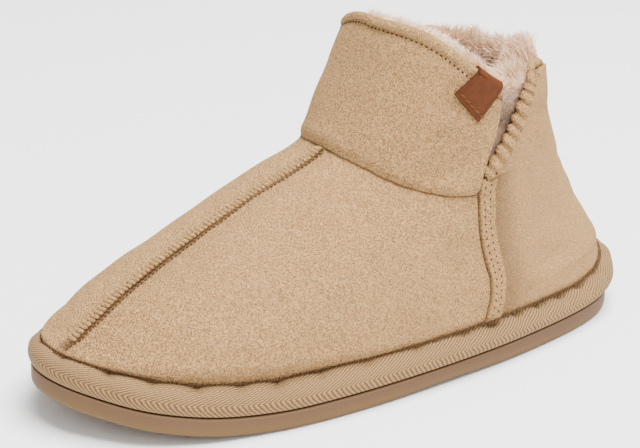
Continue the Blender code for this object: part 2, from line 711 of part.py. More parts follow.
def make_tab(group):
    """Leather strip folded over the collar near the panel's rear edge on the outer side."""
    rim = level_sizes(COLLAR)
    edge = float(turn_at(rim, rim["seam_y"]))
    pace = np.linalg.norm(np.diff(upper_points(rim, [edge - 0.05, edge], 1), axis=0)) / 0.05
    outside = COLLAR_BEAD + GAP
    inside = UPPER_WALL + GAP
    # Down from the rim, and distance out from the wall's outer face
    fold = (
        (TAB_DROP, outside * 0.6),
        (TAB_DROP * 0.62, outside * 0.8),
        (TAB_DROP * 0.30, outside),
        (0.0010, outside + 0.0003),
        (-0.0010, outside * 0.4),
        (-0.0013, -UPPER_WALL * 0.45),
        (-0.0009, -inside * 0.90),
        (0.0012, -inside),
        (TAB_INNER_DROP, -inside),
    )
    across = np.linspace(-0.5, 0.5, 6) * TAB_WIDTH - TAB_FROM_PANEL_EDGE
    bm = bmesh.new()
    rows = []
    for down, out in fold:
        turns = edge + (across - TAB_SLANT * max(down, 0) * (1 if out > 0 else 0)) / pace
        here, normal = shaft_surface(turns, np.ones(len(turns)), np.full(len(turns), down))
        rows.append([bm.verts.new(p) for p in here + normal * out])
    for low, high in zip(rows, rows[1:]):
        for i in range(len(low) - 1):
            bm.faces.new((low[i], low[i + 1], high[i + 1], high[i]))
    tab = add_object("tab", bm, LEATHER, group, 40)
    thick = tab.modifiers.new("Thickness", "SOLIDIFY")
    thick.thickness = TAB_THICKNESS
    thick.offset = 1
    return tab


# Scene

def clear_scene():
    for old in list(bpy.data.objects):
        bpy.data.objects.remove(old)


def centre_on_origin(group, cutters):
    """Moves every mesh so that the middle of the shoe's box, seen from above, is over the origin."""
    bpy.context.view_layer.update()
    graph = bpy.context.evaluated_depsgraph_get()
    corners = []
    for made in group.objects:
        corners += [made.matrix_world @ Vector(c) for c in made.evaluated_get(graph).bound_box]
    corners = np.array(corners)
    middle = (corners.min(axis=0) + corners.max(axis=0)) / 2
    for made in list(group.objects) + list(cutters.objects):
        made.data.transform(Matrix.Translation((-middle[0], -middle[1], 0)))


def main():
    clear_scene()
    group = bpy.data.collections.new("bootie_slipper")
    cutters = bpy.data.collections.new("cutters")
    for made in (group, cutters):
        bpy.context.scene.collection.children.link(made)
    make_outsole(group, cutters)
    make_platform(group)
    make_insole(group)
    make_upper(group)
    make_fur_collar(group)
    make_quarter_edging(group)
    make_tab(group)
    centre_on_origin(group, cutters)


if __name__ == "__main__":
    main()
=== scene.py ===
"""Bootie slipper, left shoe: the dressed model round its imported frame.

Metres, +Z up, toe to -Y, outer side of the foot to +X. The shapes come from the same sizes and tables as
the solids, drawn finer, with the seams, stitches, creases, pile and finishes added.
"""

import functools
import math
from collections import namedtuple

import bpy
import numpy as np
from mathutils import Matrix, Vector
from mathutils.kdtree import KDTree


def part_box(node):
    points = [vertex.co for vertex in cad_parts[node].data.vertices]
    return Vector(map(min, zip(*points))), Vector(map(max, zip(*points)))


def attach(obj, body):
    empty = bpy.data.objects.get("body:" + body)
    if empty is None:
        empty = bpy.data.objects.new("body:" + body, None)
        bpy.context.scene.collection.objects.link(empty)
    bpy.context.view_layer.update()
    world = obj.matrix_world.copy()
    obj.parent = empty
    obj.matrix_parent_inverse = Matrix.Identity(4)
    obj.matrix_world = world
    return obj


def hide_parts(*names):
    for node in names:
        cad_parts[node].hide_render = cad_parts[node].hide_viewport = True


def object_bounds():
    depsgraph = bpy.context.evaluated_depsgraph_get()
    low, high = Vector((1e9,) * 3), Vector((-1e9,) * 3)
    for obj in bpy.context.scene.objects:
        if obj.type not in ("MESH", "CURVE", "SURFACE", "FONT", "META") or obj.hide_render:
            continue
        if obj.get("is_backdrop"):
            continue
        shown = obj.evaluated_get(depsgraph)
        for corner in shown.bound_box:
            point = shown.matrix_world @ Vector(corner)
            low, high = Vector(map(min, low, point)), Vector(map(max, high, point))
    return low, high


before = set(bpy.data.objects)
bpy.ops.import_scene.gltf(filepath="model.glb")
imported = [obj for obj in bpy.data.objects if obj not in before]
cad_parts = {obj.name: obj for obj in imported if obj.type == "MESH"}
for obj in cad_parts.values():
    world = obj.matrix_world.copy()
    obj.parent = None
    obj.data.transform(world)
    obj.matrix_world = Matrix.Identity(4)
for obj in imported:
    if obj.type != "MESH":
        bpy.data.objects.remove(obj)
CAD_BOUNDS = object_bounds()

bl_info = {
    "name": "Bootie Slipper",
    "version": (1, 0, 0),
    "blender": (4, 5, 0),
    "location": "View3D > Sidebar > Slipper",
    "description": "Pile-lined suede bootie slipper on a taped platform",
    "category": "Mesh",
}

# Sizes of the shoe, as in the solids
SOLE_LENGTH = 0.262
BALL_WIDTH = 0.099
OUTSOLE_THICKNESS = 0.0078
PLATFORM_HEIGHT = 0.0097
TOE_SPRING = 0.0124
INSTEP_HEIGHT = 0.0880
SIDE_COLLAR_HEIGHT = 0.1140
BACK_COLLAR_HEIGHT = 0.1072
INSTEP_FROM_MIDDLE = -0.0120
COLLAR_BACK_FROM_MIDDLE = 0.0850
GAP = 0.0003
UPPER_WALL = 0.0024
FEATHER_CLEARANCE = 0.0005
INSOLE_CLEARANCE = 0.0017
INSOLE_THICKNESS = 0.0046
PLATFORM_RIM_WIDTH = 0.0056
PLATFORM_RECESS = 0.0042
PLATFORM_BULGE_TOE = 0.0010
PLATFORM_BULGE_HEEL = 0.0032
SOLE_EDGE_ROUND = 0.0022
ARCH_LIFT = 0.0012
TOE_SEAM_HEIGHT = 0.0017
TOE_SEAM_HALF_WIDTH = 0.0019
SIDE_SEAM_WIDTH = 0.0070
SIDE_SEAM_HEIGHT = 0.0011
SEAM_GROOVE = 0.0011
SHAFT_STEP = 0.0014
COLLAR_BEAD = 0.0008
EDGING_RADIUS = 0.0024
EDGING_LUMP = 0.0006
FUR_THICKNESS = 0.0078
FUR_DEPTH = 0.0400
FUR_RISE_FRONT = 0.0050
FUR_RISE_NOTCH = -0.0050
FUR_RISE_BACK = 0.0125
FUR_RISE_INNER = 0.0060
OUTER_CURVE = 0.86
INNER_VAMP_CURVE = 0.70
TREAD_DEPTH = 0.0015
TREAD_WIDTH = 0.0030
TREAD_PITCH = 0.0095
TREAD_BORDER = 0.0090
TAB_WIDTH = 0.0112
TAB_INNER_DROP = 0.0110
TAB_THICKNESS = 0.0013
TAB_SLANT = 0.45
TAB_FROM_PANEL_EDGE = 0.0072

# Sizes that are drawn a little off the solids, or that the solids don't have
FRONT_COLLAR_HEIGHT = 0.1335
COLLAR_FRONT_FROM_MIDDLE = 0.0074
PLATFORM_HEEL_LIFT = 0.0062
TAB_DROP = 0.0180
TAB_BORDER = 0.0011
RIM_SWELL = 0.0066
RIM_SWELL_FRONT = 0.0040
RIM_SWELL_QUARTER = 0.0042
TAPE_EDGE_INSET = 0.0045
TAPE_EDGE_HEIGHT = 1.10
SUEDE_OVER_TAPE = 0.0021
TOE_BOX_SLACK = 0.0015
ROLL_REACH = 0.00205
ROLL_INSET = 0.00120
ROLL_PRESSED = 0.0006
ROLL_PRESSED_REACH = 0.0066
ROLL_END = 0.0022
ROLL_SQUARENESS = 2.6
EDGING_TUCKED = 0.0018
EDGING_END = 0.0024
FOLD_DEPTH = 0.0007
SWELL_DEPTH = 0.00033
FEATHER_THREAD = 0.00025
FEATHER_BOW = 0.0011
TAB_BORDER_SHARE = 0.40
TAB_STITCHES = 5
TAB_THREAD = 0.00036
PILE_GROUND_DROP = 0.0030

# Bands of the pile round the section of its ground, from the outer face over the rim to the inner face
NOTCH_BAND = (0.9, 3.4)
RIM_BAND = (2.4, 7.6)
INNER_BAND = (6.8, 10.4)

# Studio: lights (metres and watts), and the camera that the photograph's outline was fitted with (metres,
# degrees and pixels)
Light = namedtuple("Light", "name place size power")
LIGHTS = (
    Light("key_light", (0.35, 0.15, 1.75), 1.2, 125.0),
    Light("fill_light", (1.5, -0.4, 0.8), 1.4, 11.0),
    Light("front_light", (-0.3, -1.6, 1.2), 1.2, 3.0),
)
WORLD_STRENGTH = 0.72
CAMERA_AZIMUTH = 54.0
CAMERA_ELEVATION = 21.8
CAMERA_ROLL = 1.8
CAMERA_DISTANCE = 0.803
CAMERA_TARGET = (0, 0, 0.050)
CAMERA_FOCAL = 2055
CAMERA_MIDDLE = (343.6, 232.8)
CAMERA_PICTURE = (640, 448)
SENSOR_WIDTH = 36

# Sole outline: station from the toe as a share of the length, centre and half as shares of half the ball width
Outline = namedtuple("Outline", "station centre half")
OUTLINE = (
    Outline(0.00, -0.105, 0.000),
    Outline(0.03, -0.090, 0.415),
    Outline(0.10, -0.055, 0.755),
    Outline(0.20, -0.025, 0.930),
    Outline(0.34, 0.005, 1.000),
    Outline(0.48, 0.058, 0.947),
    Outline(0.64, 0.082, 0.862),
    Outline(0.80, 0.046, 0.762),
    Outline(0.92, 0.018, 0.598),
    Outline(0.98, 0.000, 0.345),
    Outline(1.00, 0.000, 0.000),
)

# Levels of the upper from the feather edge to the instep seam, and of the shaft from there to the collar
Level = namedtuple("Level", "ahead front side lean back half oval toe seam")
VAMP_LEVELS = (
    Level(0.000, 0.000, 0.000, 0.000, 0.000, 0.877, 0.00, 0.100, 0.134),
    Level(0.000, 0.080, 0.080, 0.000, 0.060, 0.877, 0.00, 0.110, 0.136),
    Level(0.008, 0.125, 0.152, 0.000, 0.120, 0.925, 0.03, 0.130, 0.141),
    Level(0.039, 0.190, 0.264, 0.010, 0.207, 0.945, 0.12, 0.160, 0.147),
    Level(0.100, 0.272, 0.384, 0.150, 0.314, 0.935, 0.35, 0.150, 0.148),
    Level(0.205, 0.372, 0.520, 0.310, 0.433, 0.905, 0.65, 0.090, 0.140),
    Level(0.394, 0.530, 0.675, 0.475, 0.572, 0.865, 0.90, 0.030, 0.133),
    Level(0.688, 0.757, 0.837, 0.660, 0.760, 0.832, 1.00, 0.000, 0.130),
    Level(1.000, 1.000, 1.000, 0.865, 1.000, 0.800, 1.00, 0.000, 0.130),
)
SEAM_SIDE_HEIGHT = 0.0720
SEAM_BACK_HEIGHT = 0.0930
Shaft = namedtuple("Shaft", "rise ahead lean half curve hold seam quarter")
SHAFT_LEVELS = (
    Shaft(0.00, 0.00, 0.865, 0.800, 0.66, 1.00, 0.130, 0.162),
    Shaft(0.30, 0.36, 0.912, 0.800, 0.70, 0.85, 0.143, 0.186),
    Shaft(0.65, 0.70, 0.960, 0.800, 0.80, 0.68, 0.160, 0.226),
    Shaft(1.00, 1.00, 1.000, 0.785, 0.90, 0.52, 0.168, 0.252),
)
NOTCH_LEVEL = 8.5

VAMP_TOP = len(VAMP_LEVELS) - 1
COLLAR = VAMP_TOP + len(SHAFT_LEVELS) - 1
HALF_LENGTH = SOLE_LENGTH / 2
HALF_BALL = BALL_WIDTH / 2
PLATFORM_BASE = OUTSOLE_THICKNESS + GAP
PLATFORM_TOP = PLATFORM_BASE + PLATFORM_HEIGHT
RECESS_FLOOR = PLATFORM_TOP - PLATFORM_RECESS
FEATHER_HEIGHT = RECESS_FLOOR + GAP
FEATHER_INSET = PLATFORM_RIM_WIDTH + FEATHER_CLEARANCE
COLLAR_MIDDLE = (COLLAR_BACK_FROM_MIDDLE + COLLAR_FRONT_FROM_MIDDLE) / 2
FUR_INSET = UPPER_WALL / 2 + EDGING_RADIUS + EDGING_LUMP + 2 * GAP

# Columns of the upper on one side, as in the solid, and how finely each space between them is drawn
FRONT_COLUMNS = 8
BACK_COLUMNS = 5
PANEL_EDGE = 3 + FRONT_COLUMNS
GROOVE, STRIP_FRONT, STRIP_MIDDLE, QUARTER_EDGE, STRIP_END = range(PANEL_EDGE + 1, PANEL_EDGE + 6)
SIDE_COLUMNS = STRIP_END + BACK_COLUMNS + 1
SEAM_DIVISIONS = 4
PANEL_DIVISIONS = 5
QUARTER_DIVISIONS = 7

# Creases of the upper, listed one by one. side: 1 outer, -1 inner. Ends: station from the toe as a share of
# the sole length, and height as a share of the front collar's. width and depth in metres; a negative
# depth is a ridge.
Crease = namedtuple("Crease", "side first_station first_height last_station last_height width depth")
CREASES = (
    Crease(1, 0.845, 0.545, 0.975, 0.500, 0.0034, 0.0017),
    Crease(1, 0.800, 0.470, 0.960, 0.405, 0.0060, -0.0007),
    Crease(1, 0.700, 0.300, 0.890, 0.250, 0.0070, 0.0010),
    Crease(1, 0.560, 0.420, 0.615, 0.200, 0.0080, 0.0012),
    Crease(1, 0.460, 0.470, 0.560, 0.260, 0.0090, -0.0007),
    Crease(1, 0.330, 0.330, 0.480, 0.210, 0.0090, 0.0007),
    Crease(1, 0.170, 0.300, 0.330, 0.200, 0.0080, -0.0006),
    Crease(1, 0.520, 0.600, 0.640, 0.640, 0.0060, 0.0012),
    Crease(1, 0.535, 0.780, 0.660, 0.700, 0.0070, -0.0008),
    Crease(1, 0.690, 0.760, 0.830, 0.700, 0.0050, 0.0011),
    Crease(-1, 0.845, 0.560, 0.975, 0.510, 0.0045, 0.0010),
    Crease(-1, 0.700, 0.330, 0.880, 0.270, 0.0070, 0.0007),
    Crease(-1, 0.520, 0.430, 0.600, 0.220, 0.0080, 0.0009),
    Crease(-1, 0.330, 0.330, 0.480, 0.200, 0.0085, -0.0007),
    Crease(-1, 0.520, 0.600, 0.650, 0.650, 0.0060, 0.0008),
    Crease(-1, 0.535, 0.800, 0.650, 0.720, 0.0070, -0.0008),
)

# Where the tape is pinched at its upper edge: shares of half the way round, from the toe, and how deep
PINCHES = (
    (0.030, 0.5), (0.095, 0.8), (0.150, 0.6), (0.205, 1.0), (0.262, 0.8), (0.310, 1.0), (0.372, 0.6),
    (0.440, 0.6), (0.520, 0.6), (0.600, 0.8), (0.650, 1.0), (0.700, 1.1), (0.745, 1.3), (0.790, 1.2),
    (0.838, 1.4), (0.885, 1.3), (0.932, 1.2), (0.976, 0.8),
)


# Sizes and colours that a user would change

def length(name, description, default, high):
    return bpy.props.FloatProperty(
        name=name, description=description, default=default, min=0, max=high, subtype="DISTANCE", unit="LENGTH",
        precision=5,
    )


def colour(name, description, default):
    return bpy.props.FloatVectorProperty(
        name=name, description=description, default=default, min=0, max=1, size=3, subtype="COLOR",
    )


class SlipperSizes(bpy.types.PropertyGroup):
    overlock_pitch: length("Overlock pitch", "Distance between stitches over the toe seam", 0.00185, 0.01)
    overlock_thread: length("Overlock thread", "Radius of the toe seam's thread", 0.00022, 0.002)
    overlock_lump: length("Overlock lump", "Radius of one lump of the toe seam", 0.00094, 0.003)
    quarter_pitch: length("Quarter lumps", "Distance between lumps of the quarter's edge", 0.0045, 0.01)
    feather_pitch: length("Feather stitches", "Distance between threads along the tape", 0.0011, 0.01)
    hole_pitch: length("Hole pitch", "Distance between needle holes", 0.0021, 0.01)
    hole_radius: length("Hole radius", "Radius of a needle hole", 0.00044, 0.002)
    roll_height: length("Collar roll", "Height of the rolled edge on the front panel", 0.0046, 0.02)
    twill_pitch: length("Twill pitch", "Distance between the tape's twill lines", 0.0021, 0.01)
    twill_turn: length("Twill turn", "Height on the tape where the twill turns back", 0.0092, 0.02)
    pinch_depth: length("Pinch depth", "Drop of the tape's edge where it is pinched", 0.0023, 0.005)
    pile_rim: length("Rim pile", "Length of the pile over the collar", 0.0085, 0.03)
    pile_inside: length("Inner pile", "Length of the pile inside the shaft", 0.0125, 0.03)
    pile_notch: length("Notch pile", "Length of the pile in the side notches", 0.0062, 0.02)
    pile_footbed: length("Footbed pile", "Length of the pile on the footbed", 0.0050, 0.02)
    pile_width: length("Pile width", "Width of one lock at its root", 0.00024, 0.002)


class SlipperCounts(bpy.types.PropertyGroup):
    rim_strands: bpy.props.IntProperty(
        name="Rim strands", description="Number of strands over the collar", default=38000, min=100, max=38000)
    inside_strands: bpy.props.IntProperty(
        name="Inner strands", description="Number of strands inside the shaft", default=38000, min=100, max=38000)
    notch_strands: bpy.props.IntProperty(
        name="Notch strands", description="Number of strands in the side notches", default=16000, min=100,
        max=38000)
    footbed_strands: bpy.props.IntProperty(
        name="Footbed strands", description="Number of strands on the footbed", default=24000, min=100, max=38000)
    tufts: bpy.props.IntProperty(
        name="Tufts", description="Number of locks that the collar's strands gather in", default=2400, min=10,
        max=5000)


class SlipperColours(bpy.types.PropertyGroup):
    suede: colour("Suede", "Face of the suede", (0.560, 0.334, 0.137))
    suede_low: colour("Suede, brushed down", "Suede where its nap lies the other way", (0.262, 0.128, 0.046))
    # Painted shade: the dark colour laid in seam grooves, folds, recesses between parts and needle holes
    joint: colour("Joint", "Depth of seams and needle holes", (0.045, 0.019, 0.008))
    tape: colour("Tape", "Lit threads of the tape", (0.345, 0.214, 0.094))
    # Painted shade: the darker tape colour stands for the shade between the lit twill lines
    tape_shaded: colour("Tape, low", "Spaces between the tape's twill lines", (0.088, 0.042, 0.016))
    rubber: colour("Rubber", "Upper part of the outsole's side", (0.138, 0.074, 0.037))
    rubber_low: colour("Rubber, low", "Lower part of the outsole's side", (0.155, 0.090, 0.033))
    pile: colour("Pile", "Tips of the pile", (0.880, 0.650, 0.440))
    pile_low: colour("Pile, low", "Roots of the pile", (0.780, 0.520, 0.320))
    thread: colour("Thread", "Overlock thread", (0.520, 0.330, 0.150))
    feather: colour("Feather thread", "Thread between the suede and the tape", (0.120, 0.062, 0.027))
    ochre: colour("Tab thread", "Thread of the tab's stitches", (0.130, 0.052, 0.007))
    leather: colour("Leather", "Face of the tab", (0.090, 0.024, 0.0052))
    leather_low: colour("Leather, burnished", "Edges and pores of the tab", (0.035, 0.010, 0.004))
    floor: colour("Floor", "Floor under the slipper", (0.930, 0.930, 0.930))


# Curves through tables

def smooth(knots, values, at):
    """Monotone cubic through the knots, so that a table's peak stays its peak."""
    knots, values = np.asarray(knots, float), np.asarray(values, float)
    at = np.clip(np.asarray(at, float), knots[0], knots[-1])
    step = np.diff(knots)
    rise = np.diff(values) / step
    slope = np.concatenate([[rise[0]], np.zeros(len(knots) - 2), [rise[-1]]])
    for i in range(1, len(knots) - 1):
        if rise[i - 1] * rise[i] > 0:
            before, after = 2 * step[i] + step[i - 1], step[i] + 2 * step[i - 1]
            slope[i] = (before + after) / (before / rise[i - 1] + after / rise[i])
    i = np.clip(np.searchsorted(knots, at, side="right") - 1, 0, len(step) - 1)
    t = (at - knots[i]) / step[i]
    return (
        values[i] * (1 + 2 * t) * (1 - t) ** 2
        + values[i + 1] * t**2 * (3 - 2 * t)
        + step[i] * slope[i] * t * (1 - t) ** 2
        - step[i] * slope[i + 1] * t**2 * (1 - t)
    )


def ease(value):
    """0 to 1 with a gentle start and end."""
    value = np.clip(value, 0, 1)
    return value * value * (3 - 2 * value)


def heelward(y):
    """0 in front of the shoe's middle, 1 behind it."""
    return ease((y + 0.020) / 0.040)


def rounded_end(distance, reach):
    """Share of a roll's full size at a distance from its rounded end."""
    return np.sqrt(np.clip(1 - (1 - np.clip(distance / reach, 0, 1)) ** 2, 0, 1))


def column(table, name):
    return [getattr(row, name) for row in table]


def turn_of(station):
    """Angle round half an outline, 0 at the toe and pi at the heel, for a share of its length."""
    return np.arccos(1 - 2 * np.clip(station, 0, 1))


def station_of(turn):
    return (1 - np.cos(turn)) / 2


def footprint(turn, name):
    return smooth(turn_of(np.array(column(OUTLINE, "station"))), column(OUTLINE, name), turn)


def toe_lift(y):
    station = (y + HALF_LENGTH) / SOLE_LENGTH
    return TOE_SPRING * np.clip((0.31 - station) / 0.31, 0, 1) ** 2


def arch_lift(y):
    station = (y + HALF_LENGTH) / SOLE_LENGTH
    return ARCH_LIFT * np.exp(-(((station - 0.58) / 0.10) ** 2)) * (np.abs(station - 0.58) < 0.17)


def heel_lift(station):
    return PLATFORM_HEEL_LIFT * np.clip((station - 0.86) / 0.14, 0, 1) ** 1.5


def tape_edge(y):
    """Height of the tape's upper edge where it meets the suede."""
    station = 0.5 + y / (SOLE_LENGTH - 2 * TAPE_EDGE_INSET)
    return PLATFORM_BASE + PLATFORM_HEIGHT * TAPE_EDGE_HEIGHT + toe_lift(y) + heel_lift(station)


def both_sides(outer, inner):
    """Closed ring from its two halves: toe, outer side, heel, inner side."""
    return np.concatenate([outer, inner[-2:0:-1]])


def outline_ring(inset, height, steps):
    turn = np.linspace(0, math.pi, steps + 1)
    y = -np.cos(turn) * (HALF_LENGTH - inset)
    centre = footprint(turn, "centre") * HALF_BALL
    half = footprint(turn, "half") * (HALF_BALL - inset)
    z = height + toe_lift(y)
    return both_sides(np.stack([centre + half, y, z], axis=1), np.stack([centre - half, y, z], axis=1))


def centre_line(ring):
    """The ring folded onto the middle of the sole, which closes a loft that ends with it."""
    mirrored = np.roll(ring[::-1], 1, axis=0)
    return (ring + mirrored) / 2


def frame_offset():
    """From the tables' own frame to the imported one, whose origin is under the middle of the shoe's box."""
    low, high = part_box("outsole")
    ring = outline_ring(0, 0, 30)
    middle = (ring.min(axis=0) + ring.max(axis=0)) / 2
    return np.array([(low.x + high.x) / 2 - middle[0], (low.y + high.y) / 2 - middle[1], 0])


OFFSET = frame_offset()


# Upper's surface

@functools.cache
def level_sizes(level):
    """Sizes of the upper at a level: 0 at the feather edge, VAMP_TOP at the seam, COLLAR at the rim."""
    low = np.arange(VAMP_TOP + 1)
    knots = np.arange(COLLAR + 1)
    toe = -(HALF_LENGTH - FEATHER_INSET)
    heel = HALF_LENGTH - FEATHER_INSET
    front_base = FEATHER_HEIGHT + float(toe_lift(toe))

    def both(vamp_values, shaft_values):
        return float(smooth(knots, np.concatenate([vamp_values, shaft_values[1:]]), level))

    def vamp(name):
        return np.array(column(VAMP_LEVELS, name))

    def shaft(name):
        return np.array(column(SHAFT_LEVELS, name))

    rise = shaft("rise")
    seam = both(vamp("seam"), shaft("seam")) * SOLE_LENGTH
    return {
        "front_y": both(
            toe + vamp("ahead") * (INSTEP_FROM_MIDDLE - toe),
            INSTEP_FROM_MIDDLE + shaft("ahead") * (COLLAR_FRONT_FROM_MIDDLE - INSTEP_FROM_MIDDLE),
        ),
        "back_y": both(
            heel + vamp("lean") * (COLLAR_BACK_FROM_MIDDLE - heel),
            heel + shaft("lean") * (COLLAR_BACK_FROM_MIDDLE - heel),
        ),
        "front_z": both(
            front_base + vamp("front") * (INSTEP_HEIGHT - front_base),
            INSTEP_HEIGHT + rise * (FRONT_COLLAR_HEIGHT - INSTEP_HEIGHT),
        ),
        "side_z": both(
            FEATHER_HEIGHT + vamp("side") * (SEAM_SIDE_HEIGHT - FEATHER_HEIGHT),
            SEAM_SIDE_HEIGHT + rise * (SIDE_COLLAR_HEIGHT - SEAM_SIDE_HEIGHT),
        ),
        "back_z": both(
            FEATHER_HEIGHT + vamp("back") * (SEAM_BACK_HEIGHT - FEATHER_HEIGHT),
            SEAM_BACK_HEIGHT + rise * (BACK_COLLAR_HEIGHT - SEAM_BACK_HEIGHT),
        ),
        "half": both(vamp("half"), shaft("half")) * HALF_BALL,
        "oval": both(vamp("oval"), np.ones(len(rise))),
        "toe": both(vamp("toe"), np.zeros(len(rise))) * HALF_BALL,
        "curve": both(np.full(len(low), INNER_VAMP_CURVE), shaft("curve")),
        "hold": both(np.ones(len(low)), shaft("hold")),
        "swell": both(np.zeros(len(low)), rise),
        "seam_y": seam,
        "quarter_y": max(
            both(vamp("seam"), shaft("quarter")) * SOLE_LENGTH, seam + SEAM_GROOVE + SIDE_SEAM_WIDTH,
        ),
    }


def turn_at(sizes, y):
    return turn_of((y - sizes["front_y"]) / (sizes["back_y"] - sizes["front_y"]))


def seam_turn():
    """Angle of the front panel's edge at the rim."""
    rim = level_sizes(COLLAR)
    return float(turn_at(rim, rim["seam_y"]))


def notch_turn():
    """Angle of the middle of the side notches at the rim."""
    rim = level_sizes(COLLAR)
    return float(turn_at(rim, (rim["seam_y"] + rim["quarter_y"]) / 2))


def rim_swell(turn, seam, side):
    """Rise of the rim over its plain curve: of the front panel up to the seam, and of the quarter behind it."""
    share = np.clip(turn / seam, 0, 1)
    outer = RIM_SWELL_FRONT + (RIM_SWELL - RIM_SWELL_FRONT) * ease(share / 0.45)
    outer = outer * (1 - ease((share - 0.46) / 0.54))
    front = np.where(side > 0, outer, RIM_SWELL_FRONT * (1 - ease(share / 0.4)))
    behind = np.clip((turn - seam) / (math.pi - seam), 0, 1)
    quarter = RIM_SWELL_QUARTER * ease((behind - 0.10) / 0.40) * (1 - ease((behind - 0.60) / 0.40))
    return front + quarter * np.where(side > 0, 1.0, 0.5)


def upper_points(sizes, turn, side):
    """Points on one side of the upper at a level. An angle below 0 is past the front, on the other side."""
    turn = np.asarray(turn, float)
    side = np.where(turn < 0, -side, side)
    turn = np.abs(turn)
    y = sizes["front_y"] + (sizes["back_y"] - sizes["front_y"]) * station_of(turn)
    centre = footprint(turn, "centre") * HALF_BALL * (1 - sizes["oval"])
    curve = np.where(side > 0, OUTER_CURVE, sizes["curve"])
    printed = footprint(turn, "half") * (1 - sizes["oval"])
    x = centre + side * sizes["half"] * (printed + np.sin(turn) ** curve * sizes["oval"])
    seam = turn_at(sizes, sizes["seam_y"])
    to_front = ((1 + np.cos(math.pi * np.clip(turn / seam, 0, 1))) / 2) ** sizes["hold"]
    to_back = (1 + np.cos(math.pi * np.clip((math.pi - turn) / (math.pi - seam), 0, 1))) / 2
    z = (
        sizes["side_z"]
        + (sizes["front_z"] - sizes["side_z"]) * to_front
        + (sizes["back_z"] - sizes["side_z"]) * to_back
        + sizes["swell"] * rim_swell(turn, seam, side)
    )
    flat = np.clip(1 - (sizes["side_z"] - FEATHER_HEIGHT) / PLATFORM_RECESS, 0, 1)
    z = z * (1 - flat) + (FEATHER_HEIGHT + toe_lift(y)) * flat
    return np.stack([x, y, z], axis=1)


def column_turns(sizes, side):
    """Angles of the solid's columns at a level, on one side."""
    fine = np.linspace(-0.9, 0.9, 400)
    across = upper_points(sizes, fine, side)[:, 0] * side
    middle = (float(footprint(0, "centre")) * HALF_BALL * (1 - sizes["oval"]) + sizes["toe"]) * side
    widths = np.array([0, TOE_SEAM_HALF_WIDTH, TOE_SEAM_HALF_WIDTH + SEAM_GROOVE])
    ridge = np.interp(middle + widths, across, fine)
    seam_y, quarter_y = sizes["seam_y"], sizes["quarter_y"]
    strip_y = quarter_y - SIDE_SEAM_WIDTH
    places = (
        seam_y, (seam_y + strip_y) / 2, strip_y, (strip_y + quarter_y) / 2, quarter_y, quarter_y + SEAM_GROOVE,
    )
    seam = [float(turn_at(sizes, y)) for y in places]
    front = np.linspace(ridge[2], seam[0], FRONT_COLUMNS + 2)[1:-1]
    back = np.linspace(seam[-1], math.pi, BACK_COLUMNS + 2)[1:]
    return np.concatenate([ridge, front, seam, back])


def fine_columns():
    """Places of the fine grid's columns between the solid's columns."""
    divisions = np.full(SIDE_COLUMNS, SEAM_DIVISIONS)
    divisions[2:PANEL_EDGE] = PANEL_DIVISIONS
    divisions[STRIP_END:] = QUARTER_DIVISIONS
    places = [i + np.arange(n) / n for i, n in enumerate(divisions)]
    return np.append(np.concatenate(places), SIDE_COLUMNS)


def eased(places, values):
    """Values of the solid's columns at fine places, with a smooth swell between each pair."""
    i = np.clip(places.astype(int), 0, len(values) - 2)
    t = ease(places - i)
    return values[i] * (1 - t) + values[i + 1] * t


def raised_by(level, places):
    """How far the surface stands off the plain one: toe seam, side seam strip, step of the shaft."""
    lift = np.zeros(SIDE_COLUMNS + 1)
    clear_of_rim = min(max(level - 0.9, 0), 1)
    if level <= VAMP_TOP:
        risen = TOE_SEAM_HEIGHT * float(ease((level - 1.2) / 1.0))
        lift[:3] = risen * 0.75, risen * 0.30, -risen * 0.22
    if level < NOTCH_LEVEL:
        lift[GROOVE] = -SIDE_SEAM_HEIGHT * 0.8
        lift[STRIP_FRONT] = SIDE_SEAM_HEIGHT * 0.75
        lift[STRIP_MIDDLE] = SIDE_SEAM_HEIGHT
        lift[QUARTER_EDGE] = SIDE_SEAM_HEIGHT * 0.95
        lift[STRIP_END] = -SIDE_SEAM_HEIGHT * 0.60
    lift = eased(places, lift * clear_of_rim)
    above = level - VAMP_TOP - edge_wave(places)
    panel = 1 - ease((places - PANEL_EDGE) / 0.8)
    step = np.exp(-np.maximum(above, 0) * 0.55) * (1.3 * ease((above + 0.02) / 0.26) - 0.30)
    lift += panel * SHAFT_STEP * np.where(above > 0, step, -0.30 * np.exp(np.minimum(above, 0) / 0.14))
    return lift + SUEDE_OVER_TAPE * float(ease((level - 0.5) / 0.7)) * float(1 - ease((level - 1.2) / 1.8))


def edge_wave(places):
    """Slight wander of the shaft's lower edge, in levels."""
    return 0.008 * np.sin(places * 1.7) + 0.005 * np.sin(places * 5.1 + 1.0)


def seam_shade(level, places, side):
    """How much painted shade shows, 0 to 1: in the grooves beside the toe seam and the side seam strip, and under the
    shaft's step.
    """
    shade = np.zeros(SIDE_COLUMNS + 1)
    # Painted shade in the groove beside the toe seam's ridge
    if 1 < level < VAMP_TOP:
        begun = float(ease((level - 1.3) / 0.8))
        shade[:3] = (0.45 * begun, 0.85 * begun, 0.10 * begun) if side > 0 else (0.45 * begun, 0.20 * begun, 0)
    # Painted shade in the side seam strip's grooves
    if level < NOTCH_LEVEL:
        shade[GROOVE] = 0.80
        shade[STRIP_END] = 0.46
    shade = eased(places, shade)
    above = level - VAMP_TOP - edge_wave(places)
    panel = 1 - ease((places - PANEL_EDGE) / 0.8)
    # Painted shadow under the lower edge of the shaft's step
    shade = np.maximum(shade, 0.85 * panel * np.exp(-((above / 0.028) ** 2)))
    return shade


